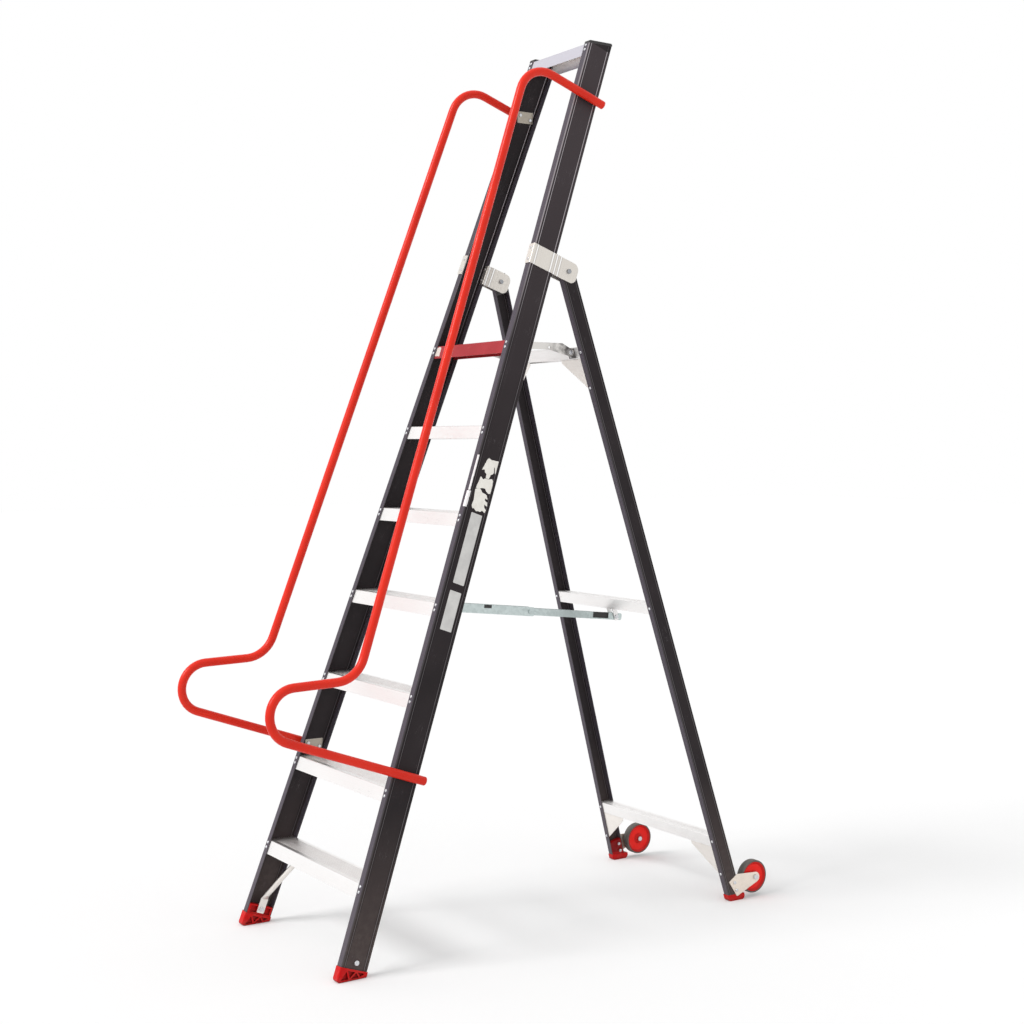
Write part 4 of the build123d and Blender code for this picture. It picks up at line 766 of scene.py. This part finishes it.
def zinc_steel(name, tone, flakes_per_metre=140.0, rough=0.36):
    """Zinc-plated steel with faint crystal flakes."""
    zinc = Finish(name, edge=0.5 * mm)
    cells = put(zinc.tree, "ShaderNodeTexVoronoi", {"Vector": zinc.place, "Scale": flakes_per_metre})
    flake = put(zinc.tree, "ShaderNodeSeparateColor", {0: cells.outputs["Color"]}).outputs["Red"]
    stain = noise(zinc.tree, zinc.place, stains_per_metre, detail=5.0)
    stained = spread(zinc.tree, stain, stain_low, stain_high, 0.0, stain_share)
    shade = blend_colours(zinc.tree, flake, colour(*tone), colour(*[level - flake_step for level in tone]))
    zinc.feed("Base Color", blend_colours(zinc.tree, stained, shade, stain_grey))
    zinc.feed("Roughness", spread(zinc.tree, flake, 0.0, 1.0, rough - zinc_smoother, rough + zinc_rougher))
    zinc.fix(Metallic=1.0)
    zinc.relief(stain, depth=0.05 * mm, strength=0.25)
    return zinc


dress(
    zinc_steel("zinc_stay", (200, 211, 210)),
    "stay_front_link", "stay_rear_link", "stay_bracket", "stay_front_pin", "stay_knee_pin",
)
dress(
    zinc_steel("zinc_fasteners", (218, 219, 222), flakes_per_metre=400.0, rough=0.3),
    "tread_rivets", "bracket_rivets", "rear_rivets", "rail_bolts", "shoe_bolts",
    "wheel_plate_bolts", "wheel_axles", "platform_pins", "stay_end_pin",
)
dress(zinc_steel("zinc_hinge", (162, 164, 168), flakes_per_metre=400.0, rough=0.32), "hinge_bolts")

# %% [markdown]
# ## Marks on the red pieces
# Painted shade sits in the pockets of the shoes and hubs, and on the inner sides of the rear shoes. A hub
# is darker at its rim and round its boss, where the light of the room doesn't reach, and a chip is missing
# from the nosing. As on the bare metal, each mark is a small function with a plain place.

# %% Painted shade on red
# Painted shade for pockets, inner sides and hubs.
red_shadow = colour(104, 6, 9)
pocket_share, inner_share, sole_end, side_start = 0.7, 0.8, 22 * mm, 30 * mm
facing_start, facing_full = -0.1, -0.25


def with_pocket_grime(red, shade, reach):
    """Painted shade in the pockets of a moulding."""
    occluded = red.effect(crevice_shade, {"Vector": red.place, "Reach": reach})["Grime"]
    return red.tint(shade, occluded, pocket_share, red_shadow)


def with_dirty_inner_side(red, shade):
    """Painted shade above the sole, on the sides that face the middle of the steps."""
    side_spot, side_way = part_of(red.tree, red.place, "X"), part_of(red.tree, red.normal, "X")
    outward = times(red.tree, side_spot, side_way)
    inward = spread(red.tree, outward, facing_start, facing_full)
    above_sole = spread(red.tree, part_of(red.tree, red.place, "Z"), sole_end, side_start, 0.0, inner_share)
    return red.tint(shade, inward, above_sole, red_shadow)


print("Grime darkens red to", [round(level, 3) for level in red_shadow[:3]])

# %% Hub shade and chips
rim_start, rim_end, rim_share = 38 * mm, 42 * mm, 0.45
boss_end, boss_start, boss_share = 21 * mm, 15 * mm, 0.4
bare_chip, chip_ragged = colour(228, 216, 208), 12 * mm


def with_hub_shade(red, shade, axle_line):
    """Darker rim and boss of a hub."""
    off_axle = off_cross_line(red, axle_line)
    rim_shade = spread(red.tree, off_axle, rim_start, rim_end, 0.0, rim_share)
    boss_shade = spread(red.tree, off_axle, boss_end, boss_start, 0.0, boss_share)
    return blend_colours(red.tree, maths(red.tree, "MAXIMUM", rim_shade, boss_shade), shade, red_shadow)


def with_chip(red, shade, middle, half):
    """Bare metal where a chip of coating is gone."""
    inputs = {"Vector": red.place, "Middle": middle, "Half size": half, "Ragged": chip_ragged}
    return blend_colours(red.tree, red.effect(torn_rest, inputs)["Paper"], shade, bare_chip)


print("A hub's rim is shaded from", rim_start, "m out")

# %% [markdown]
# ## Red finishes
# The handrails are powder coated: a glossy, slightly pebbled skin that is thinner and duller where hands
# run. The platform nosing is the same bar as a tread with a deeper red coating. Shoes and hubs are moulded
# plastic, red right through, with a finer and softer gloss. They could be four materials, but they differ
# only in tone, gloss and pebbles, so one function makes them all.

# %% Red finish
scratched_red, rubbed_and_lit_red, red_dust = colour(240, 150, 135), colour(240, 120, 100), colour(150, 120, 110)
red_scratch, red_dusty, red_dust_reach = 0.25, 0.16, 0.12
red_smoother, red_rougher, coat_rough = 0.05, 0.07, 0.12
depths_per_metre, depth_low, depth_high = 9.0, 0.35, 0.65


def red_coating(
    name, tone, deep, rough, pebbles_per_metre, pebble_depth, coat=0.0, rub=0.18, gloss=0.2, turn=None,
    shade_reach=None, shaded_inside=False, axle_line=None, chip=None,
):
    """A red skin with fine pebbles, a little uneven in depth of colour, with any marks and painted shade
    that it has.
    """
    red = Finish(name, edge=0.8 * mm, turn=turn)
    depth = noise(red.tree, red.place, depths_per_metre, detail=4.0)
    pebbles = noise(red.tree, red.place, pebbles_per_metre, detail=2.0)
    scratch = red.effect(thin_scratches, {"Vector": red.along, "Across per metre": 220.0})["Scratch"]
    deeper = spread(red.tree, depth, depth_low, depth_high)
    shade = blend_colours(red.tree, deeper, colour(*tone), colour(*deep))
    shade = red.tint(shade, scratch, red_scratch, scratched_red)
    # Pale edges stand for worn coating and for a painted highlight.
    shade = red.tint(shade, red.edges["Edge"], rub, rubbed_and_lit_red)
    if shade_reach:
        shade = with_pocket_grime(red, shade, shade_reach)
    if shaded_inside:
        shade = with_dirty_inner_side(red, shade)
    if axle_line:
        shade = with_hub_shade(red, shade, axle_line)
    if chip:
        shade = with_chip(red, shade, *chip)
    dust = red.dust(red_dust_reach)
    red.feed("Base Color", red.tint(shade, dust, red_dusty, red_dust))
    smooth_red, rough_red = rough - red_smoother, rough + red_rougher
    red.feed("Roughness", spread(red.tree, depth, noise_low, noise_high, smooth_red, rough_red))
    red.fix(Coat_Weight=coat, Coat_Roughness=coat_rough, Specular_IOR_Level=gloss)
    red.relief(pebbles, depth=pebble_depth, strength=0.4)
    return red


print("Red deepens", depths_per_metre, "times per metre")

# %% Dress the red pieces
rail_red = red_coating(
    "red_rail_coating", tone=(228, 44, 22), deep=(216, 37, 18), rough=0.34, pebbles_per_metre=420.0,
    pebble_depth=0.05 * mm, coat=0.06, turn=near_turn,
)
dress(rail_red, "right_handrail", "left_handrail", "rail_plugs")
nosing_low, nosing_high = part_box("platform_nosing")
chip_middle = Vector((nosing_low.x + 29 * mm, nosing_low.y + 10 * mm, nosing_high.z - 17 * mm))
chip_half = Vector((17, 30, 14)) * mm
nosing_red = red_coating(
    "red_nosing_coating", tone=(170, 46, 52), deep=(158, 40, 46), rough=0.38, pebbles_per_metre=500.0,
    pebble_depth=0.04 * mm, chip=(chip_middle, chip_half),
)
dress(nosing_red, "platform_nosing")
# The shoes get painted shade in their pockets, and the rear shoes also on their inner sides.
for end, shaded in (("front", False), ("rear", True)):
    shoe_red = red_coating(
        "red_shoe_plastic_" + end, tone=(210, 11, 15), deep=(198, 7, 11), rough=0.4, pebbles_per_metre=900.0,
        pebble_depth=0.06 * mm, rub=0.34, gloss=0.14, shade_reach=18 * mm, shaded_inside=shaded,
    )
    dress(shoe_red, "right_" + end + "_shoe", "left_" + end + "_shoe")

# %% [markdown]
# ## Black plastic and black steel
# The caps on the stiles, the hinge blocks and the rail saddles are black moulded plastic with a fine spark
# grain from the mould. The pivot ears of the platform are black-coated steel, which wears to grey at its
# rim. A pure black would hide every form, so both are a dark grey with paler clouds, edges and dust.

# %% Black finish
grains_per_metre, black_clouds, black_rougher = 1400.0, 20.0, 0.12
black_cloud, black_edge, black_dusty, black_dust = 0.4, 0.5, 0.2, colour(150, 143, 134)


def black_moulding(name, tone, pale, rough, grain_depth):
    """Black piece with moulded grain and paler rims."""
    black = Finish(name, edge=0.9 * mm)
    grain = noise(black.tree, black.place, grains_per_metre, detail=2.0)
    clouds = noise(black.tree, black.place, black_clouds, detail=4.0)
    cloud_tone = spread(black.tree, clouds, depth_low, depth_high)
    shade = black.tint(colour(*tone), cloud_tone, black_cloud, colour(*pale))
    shade = black.tint(shade, black.edges["Edge"], black_edge, worn_and_lit_metal)
    black.feed("Base Color", black.tint(shade, black.dust(), black_dusty, black_dust))
    black.feed("Roughness", spread(black.tree, cloud_tone, 0.0, 1.0, rough, rough + black_rougher))
    black.fix(Metallic=0.0)
    black.relief(grain, depth=grain_depth, strength=0.4)
    return black


black_plastic = black_moulding(
    "black_cap_plastic", tone=(40, 39, 39), pale=(58, 56, 55), rough=0.5, grain_depth=0.05 * mm
)
dress(
    black_plastic,
    "right_stile_cap", "left_stile_cap", "right_hinge_block", "left_hinge_block", "rail_saddles",
    "stay_latch",
)
black_steel = black_moulding(
    "black_ear_steel", tone=(74, 72, 72), pale=(118, 114, 112), rough=0.42, grain_depth=0.03 * mm
)
dress(black_steel, "platform_ears")

# %% [markdown]
# ## Rubber and hub plastic
# A tyre is dark rubber, greyed by the dust that it rolls through, and its hub is a bright red moulding.
# Rubber is rough and never quite black. A plain rough grey would do from afar, and clouds and a fine grain
# keep it from looking like plastic up close.

# %% Rubber and hub finishes
rubber_dark, rubber_pale, rubber_dust = colour(84, 79, 76), colour(106, 100, 96), colour(160, 152, 142)
rubber_clouds, rubber_grains, rubber_dusty, rubber_dust_reach = 60.0, 1100.0, 0.25, 0.2
rubber_smooth, rubber_rough = 0.62, 0.78
rubber = Finish("dark_tyre_rubber", edge=1.2 * mm)
rubber_cloud = noise(rubber.tree, rubber.place, rubber_clouds, detail=5.0)
rolled_dust = rubber.dust(rubber_dust_reach)
rubber_tone = blend_colours(rubber.tree, rubber_cloud, rubber_dark, rubber_pale)
rubber.feed("Base Color", rubber.tint(rubber_tone, rolled_dust, rubber_dusty, rubber_dust))
worn_rough = spread(rubber.tree, rubber_cloud, noise_low, noise_high, rubber_smooth, rubber_rough)
rubber.feed("Roughness", worn_rough)
rubber_grain = noise(rubber.tree, rubber.place, rubber_grains, detail=3.0)
rubber.relief(rubber_grain, depth=0.08 * mm, strength=0.5)

tyre_low, tyre_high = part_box("right_wheel_tyre")
axle_spot = (tyre_low + tyre_high) / 2
# The hub gets painted shade in its pockets, at its rim and round its boss.
hub_red = red_coating(
    "red_hub_plastic", tone=(255, 32, 22), deep=(250, 26, 17), rough=0.3, pebbles_per_metre=700.0,
    pebble_depth=0.04 * mm, shade_reach=9 * mm, axle_line=(axle_spot.y, axle_spot.z),
)
print("The wheels turn", round(axle_spot.z, 4), "m above the floor")

# %% [markdown]
# ## Wheels
# Each wheel is a red moulded hub with a dark rubber tyre. Both are turned shapes. Cylinders could be
# joined and cut, but a half section drawn as a closed loop and spun right round the axle is cleaner.
# Rounding the section before the spin is cheap, and gives the soft rims that a moulding has.

# %% Piece helpers
merge_reach = 0.001 * mm


def as_piece(name, shape):
    """Makes an object of a finished shape."""
    mesh = bpy.data.meshes.new(name)
    shape.to_mesh(mesh)
    shape.free()
    piece = bpy.data.objects.new(name, mesh)
    bpy.context.scene.collection.objects.link(piece)
    print("Made", name, "with", len(mesh.polygons), "faces")
    return piece


def spun_piece(name, outline, axle, rounding, steps=96):
    """Spins a closed outline, given as across and out from the axle, right round the axle line."""
    shape = bmesh.new()
    corners = [shape.verts.new(Vector((across, axle.y, axle.z + out))) for across, out in outline]
    shape.faces.new(corners)
    bmesh.ops.bevel(
        shape, geom=list(shape.verts), offset=rounding, offset_type="OFFSET", segments=3, profile=0.5,
        affect="VERTICES", material=-1, clamp_overlap=True,
    )
    bmesh.ops.spin(
        shape, geom=list(shape.faces), cent=axle, axis=(1, 0, 0), angle=math.tau, steps=steps, use_merge=True
    )
    bmesh.ops.delete(shape, geom=[face for face in shape.faces if len(face.verts) > 4], context="FACES_ONLY")
    bmesh.ops.remove_doubles(shape, verts=shape.verts, dist=merge_reach)
    bmesh.ops.recalc_face_normals(shape, faces=shape.faces)
    for face in shape.faces:
        face.smooth = True
    return as_piece(name, shape)


print("Corners closer than", merge_reach, "m are merged")

# %% Wheel sections
tyre_inner, tyre_shoulder, shoulder_bend, hair_gap = 47.5 * mm, 3 * mm, 0.3, 0.05 * mm
bore, boss_radius, boss_chamfer, boss_slope = 5.06 * mm, 15 * mm, 1.5 * mm, 2 * mm
dish, rim, rim_slope, rim_chamfer, rim_sunk = 6 * mm, 5 * mm, 3 * mm, 1 * mm, 0.4 * mm


def tyre_section(half, outer):
    """One half of a tyre's outline, from its inside to the middle of its tread."""
    bend = shoulder_bend * tyre_shoulder
    return [
        (half, tyre_inner), (half, outer - tyre_shoulder), (half - bend, outer - bend),
        (half - tyre_shoulder, outer),
    ]


def hub_section(half):
    """One half of a hub's outline: boss, dished web and rim."""
    hub_edge = tyre_inner - hair_gap
    return [
        (half, bore), (half, boss_radius - boss_chamfer), (half - dish, boss_radius + boss_slope),
        (half - dish, hub_edge - rim - rim_slope), (half - rim_sunk, hub_edge - rim + rim_chamfer),
        (half - rim_sunk, hub_edge),
    ]


print("A tyre is", round((tyre_high.z - tyre_low.z) / 2 - tyre_inner, 4), "m thick")

# %% Spin the wheels
for side in ("right", "left"):
    low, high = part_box(side + "_wheel_tyre")
    axle = (low + high) / 2
    outer, half = (high.z - low.z) / 2 - hair_gap, (high.x - low.x) / 2 - hair_gap
    for name, outline, rounding, finish, slot in (
        ("tyre", tyre_section(half, outer), 0.8 * mm, rubber, "tyre"),
        ("hub", hub_section(half), 1.0 * mm, hub_red, "red_plastic"),
    ):
        loop = outline + [(-across, out) for across, out in reversed(outline)]
        section = [(axle.x + across, out) for across, out in loop]
        piece = spun_piece(side + "_" + name, section, axle, rounding)
        piece.data.materials.append(finish.material)
        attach(piece, side + "_wheel")
        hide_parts(side + "_wheel_" + name)

# %% [markdown]
# ## Film strips and torn paper
# Two narrow strips of plain silver film are stuck on the near stile. Above them hang three torn shreds of
# plain paper. They could be patches of colour in the stile's finish, but a real strip has an edge that
# catches the light. So all are thin plates: a flat outline, extruded by the thickness of the film or
# paper. The strips get round corners with a bevel, and the shreds get a ragged outline by subdividing it.
# The noise that tears it gets a seed, because without one it differs from run to run.

# %% Thin plate helper
panel_recess_mm = 0.6
wide_tear, fine_tear, wide_share, fine_share = 7 * mm, 2.5 * mm, 0.6, 0.4
tear_seed = 3
seed_set(tear_seed)


def thin_plate(name, outline_mm, thickness, corner=0.0, cuts=0, ragged=0.0):
    """A plate on the near stile's web, with its outline given as back and up, in millimetres."""
    shape = bmesh.new()
    shape.faces.new([shape.verts.new((back * mm, up * mm, 0)) for back, up in outline_mm])
    if corner:
        bmesh.ops.bevel(
            shape, geom=list(shape.verts), offset=corner * mm, offset_type="OFFSET", segments=4, profile=0.5,
            affect="VERTICES", material=-1,
        )
    if cuts:
        bmesh.ops.subdivide_edges(shape, edges=list(shape.edges), cuts=cuts)
        for vert in shape.verts:
            wide, fine = noise_vector(vert.co / wide_tear), noise_vector(vert.co / fine_tear)
            push = wide * wide_share + fine * fine_share
            vert.co += Vector((push.x, push.y, 0)) * ragged * mm
    raised = bmesh.ops.extrude_face_region(shape, geom=list(shape.faces))["geom"]
    raised_corners = [piece for piece in raised if isinstance(piece, bmesh.types.BMVert)]
    bmesh.ops.translate(shape, vec=(0, 0, thickness * mm), verts=raised_corners)
    bmesh.ops.recalc_face_normals(shape, faces=shape.faces)
    bmesh.ops.triangulate(shape, faces=[face for face in shape.faces if len(face.verts) > 4])
    turn = Matrix(stile_axes("front", right_hand)).transposed().to_4x4()
    seat = Matrix.Translation(on_near_stile(0, 0, -panel_recess_mm))
    bmesh.ops.transform(shape, matrix=seat @ turn, verts=shape.verts)
    return as_piece(name, shape)


print("The stile's web lies", panel_recess_mm, "mm below its edges")

# %% Film finish
film_pale, film_grey, film_hair = colour(216, 215, 212), colour(200, 199, 197), colour(120, 118, 116)
film_clouds, film_scratches, film_scuffed, film_metal = 30.0, 220.0, 0.5, 0.35
film_smooth, film_rough = 0.32, 0.46
film = Finish("silver_film", edge=0.4 * mm, turn=near_turn)
film_cloud = noise(film.tree, film.place, film_clouds, detail=4.0)
scuff_inputs = {"Vector": film.along, "Across per metre": film_scratches}
film_scuff = film.effect(thin_scratches, scuff_inputs)["Scratch"]
film_clouded = spread(film.tree, film_cloud, depth_low, depth_high)
film_tone = blend_colours(film.tree, film_clouded, film_pale, film_grey)
film.feed("Base Color", film.tint(film_tone, film_scuff, film_scuffed, film_hair))
film.feed("Roughness", spread(film.tree, film_cloud, noise_low, noise_high, film_smooth, film_rough))
film.fix(Metallic=film_metal)
film.relief(film_cloud, depth=0.05 * mm, strength=0.3)
print("Made the finish", film.material.name)

# %% Film strips
film_thickness_mm, film_corner_mm = 0.2, 2.0
strips_mm = {
    "long_film_strip": ((28, 1132), (66, 1132), (66, 1342), (28, 1342)),
    "short_film_strip": ((26, 995), (65, 995), (65, 1110), (26, 1110)),
}
for name, outline in strips_mm.items():
    strip = thin_plate(name, outline, film_thickness_mm, corner=film_corner_mm)
    strip.data.materials.append(film.material)
    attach(strip, "front_frame")

# %% [markdown]
# Torn paper is matt and a little fluffy, and it yellows in blotches. Fine noise stands for the fibres, in
# the colour and as relief. Each shred's outline is given point by point, because a torn edge has no rule,
# and the noise of the plate helper breaks the straight stretches between its points.

# %% Paper finish
paper_white, paper_cream, paper_stain = colour(255, 253, 246), colour(248, 245, 236), colour(214, 208, 197)
fibres_per_metre, fibre_low, fibre_high = 260.0, 0.35, 0.7
blotches_per_metre, blotch_low, blotch_high, blotch_share = 55.0, 0.4, 0.7, 0.3
paper_smooth, paper_rough = 0.8, 0.95
paper = Finish("torn_paper", edge=0.3 * mm)
fibre = noise(paper.tree, paper.place, fibres_per_metre, detail=6.0, roughness=0.7)
blotches = noise(paper.tree, paper.place, blotches_per_metre, detail=4.0)
blotch = spread(paper.tree, blotches, blotch_low, blotch_high)
fluffy = spread(paper.tree, fibre, fibre_low, fibre_high)
paper_shade = blend_colours(paper.tree, fluffy, paper_white, paper_cream)
paper.feed("Base Color", paper.tint(paper_shade, blotch, blotch_share, paper_stain))
paper.feed("Roughness", spread(paper.tree, fibre, noise_low, noise_high, paper_smooth, paper_rough))
paper.relief(fibre, depth=0.2 * mm, strength=0.5)
print("Made the finish", paper.material.name)

# %% Torn paper shreds
paper_thickness_mm, paper_ragged_mm = 0.25, 2.0
shreds_mm = {
    "top_paper_shred": (
        (34, 1504), (38, 1508), (49, 1506), (73, 1509), (75, 1490), (74, 1472), (71, 1471), (65, 1488),
        (62, 1489), (67, 1473), (64, 1468), (57, 1462), (56, 1450), (45, 1450), (43, 1461), (37, 1464),
        (34, 1472), (25, 1468), (28, 1480), (31, 1490),
    ),
    "middle_paper_shred": (
        (27, 1449), (36, 1444), (46, 1449), (57, 1449), (66, 1454), (71, 1448), (74, 1429), (73, 1412),
        (66, 1409), (58, 1413), (52, 1420), (39, 1418), (34, 1413), (21, 1413), (23, 1426),
    ),
    "low_paper_shred": (
        (20, 1408), (28, 1414), (38, 1413), (46, 1406), (55, 1405), (63, 1403), (69, 1392), (60, 1393),
        (61, 1388), (71, 1383), (73, 1372), (63, 1376), (64, 1368), (73, 1361), (70, 1352), (61, 1357),
        (55, 1351), (41, 1349), (31, 1355), (27, 1352), (22, 1360), (24, 1377),
    ),
}
for name, outline in shreds_mm.items():
    shred = thin_plate(name, outline, paper_thickness_mm, cuts=4, ragged=paper_ragged_mm)
    shred.data.materials.append(paper.material)
    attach(shred, "front_frame")

# %% [markdown]
# ## Pads on the stay
# A small dark pad sits on each side of the stay's front link, near its upper edge, and seems to keep the
# folded link quiet. Two blocks could be placed one by one, but the link is the same on both sides. So one
# block with rounded edges is made beside the link and mirrored to the other side.

# %% Place of the pads
pivots = {joint["name"]: Vector(joint["pos_m"]) for joint in frame["record"]["behaviour"]["joints"]}
across_steps = Vector((1, 0, 0))
link_way = (pivots["stay_knee"] - pivots["stay_front_swing"]).normalized()
link_up = across_steps.cross(link_way)
_, link_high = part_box("stay_front_link")
pad_along, pad_up, pad_rounding = 227.5 * mm, 8.5 * mm, 0.7 * mm
pad_size = Vector((1.8, 26, 10)) * mm
print("The pads sit", pad_along, "m along the link")

# %% Stay pads
pads = bmesh.new()
bmesh.ops.create_cube(pads, size=1.0)
bmesh.ops.scale(pads, vec=pad_size, verts=pads.verts)
bmesh.ops.bevel(
    pads, geom=list(pads.edges), offset=pad_rounding, offset_type="OFFSET", segments=3, profile=0.5,
    affect="EDGES", material=-1,
)
link_turn = Matrix((across_steps, link_way, link_up)).transposed().to_4x4()
pad_middle = pivots["stay_front_swing"] + link_way * pad_along + link_up * pad_up
pad_middle.x = link_high.x + pad_size.x / 2
bmesh.ops.transform(pads, matrix=Matrix.Translation(pad_middle) @ link_turn, verts=pads.verts)
bmesh.ops.mirror(pads, geom=pads.verts[:] + pads.edges[:] + pads.faces[:], axis="X", merge_dist=merge_reach)
bmesh.ops.recalc_face_normals(pads, faces=pads.faces)
pad_pair = as_piece("stay_pads", pads)
pad_pair.data.materials.append(black_plastic.material)
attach(pad_pair, "stay_front")

# %% [markdown]
# ## Floor, light and world
# The steps stand on a plain white floor in soft studio light that comes from the climber's side. A shadow
# catcher could stand for the floor, but a real one also throws light back onto the undersides. Only rays
# from the camera, a shiny surface or glass see extra white, so the white background adds no light to the
# steps.


# %% Floor
def sharp_rays(tree):
    """A mask for rays from the camera, a shiny surface or glass."""
    rays = put(tree, "ShaderNodeLightPath").outputs
    mirrored = maths(tree, "MAXIMUM", rays["Is Glossy Ray"], rays["Is Transmission Ray"])
    return maths(tree, "MAXIMUM", rays["Is Camera Ray"], mirrored)


floor_size, floor_white, floor_glow = 60.0, 0.78, 0.12
floor_shape = bmesh.new()
bmesh.ops.create_grid(floor_shape, x_segments=1, y_segments=1, size=floor_size / 2)
floor = as_piece("floor", floor_shape)

floor_paint = bpy.data.materials.new("white_floor")
floor_paint.use_nodes = True
floor_tree = floor_paint.node_tree
floor_tree.nodes.clear()
matt = put(floor_tree, "ShaderNodeBsdfDiffuse", {"Color": (floor_white, floor_white, floor_white, 1.0)})
glow_strength = times(floor_tree, sharp_rays(floor_tree), floor_glow)
glow = put(floor_tree, "ShaderNodeEmission", {"Strength": glow_strength})
both = put(floor_tree, "ShaderNodeAddShader", {0: matt.outputs[0], 1: glow.outputs[0]})
put(floor_tree, "ShaderNodeOutputMaterial", {"Surface": both.outputs[0]})
floor.data.materials.append(floor_paint)

# %% World
fill_level = 0.78
world = bpy.data.worlds.new("soft_white_room")
world.use_nodes = True
bpy.context.scene.world = world
sky = world.node_tree
sky.nodes.clear()
sky_strength = spread(sky, sharp_rays(sky), 0.0, 1.0, fill_level, 1.0)
backdrop = put(sky, "ShaderNodeBackground", {"Color": (1, 1, 1, 1), "Strength": sky_strength})
put(sky, "ShaderNodeOutputWorld", {"Surface": backdrop.outputs[0]})
print("The room fills the shadows with", fill_level, "of white")

# %% Key light
key_bearing = Vector((-0.15, -0.989, 0.0))
key_rise, key_spread, key_strength = math.radians(42), math.radians(24), 1.75
key = bpy.data.lights.new("soft_key", "SUN")
key.energy = key_strength
key.angle = key_spread
key_holder = bpy.data.objects.new("soft_key", key)
key_from = key_bearing * math.cos(key_rise) + Vector((0, 0, math.sin(key_rise)))
key_holder.rotation_euler = (-key_from).to_track_quat("-Z", "Y").to_euler()
bpy.context.scene.collection.objects.link(key_holder)
print("The key light comes from", [round(share, 2) for share in key_from])

# %% [markdown]
# ## Camera
# The camera stands a little above the middle of the steps, to the climber's right and in front. A wide
# lens close by would stretch the near side, so it has a 56 mm lens on a full-frame sensor, which gives the
# photograph's gentle perspective. A very small roll keeps the uprights as they are in the photograph.

# %% Camera
camera_place = Vector((4.0786, -2.6339, 1.4412))
camera_way = Vector((-0.83056, 0.55538, -0.04143))
camera_roll = math.radians(0.126)
lens_mm, sensor_mm = 56.0, 36.0

camera_data = bpy.data.cameras.new("photo_camera")
camera_data.lens = lens_mm
camera_data.sensor_width = sensor_mm
camera = bpy.data.objects.new("photo_camera", camera_data)
camera.location = camera_place
camera_turn = camera_way.to_track_quat("-Z", "Y") @ Quaternion((0, 0, 1), camera_roll)
camera.rotation_euler = camera_turn.to_euler()
bpy.context.scene.collection.objects.link(camera)
bpy.context.scene.camera = camera
bpy.context.scene.view_settings.view_transform = "Standard"
print("The camera stands", round(camera_place.length, 2), "m from the middle of the floor")
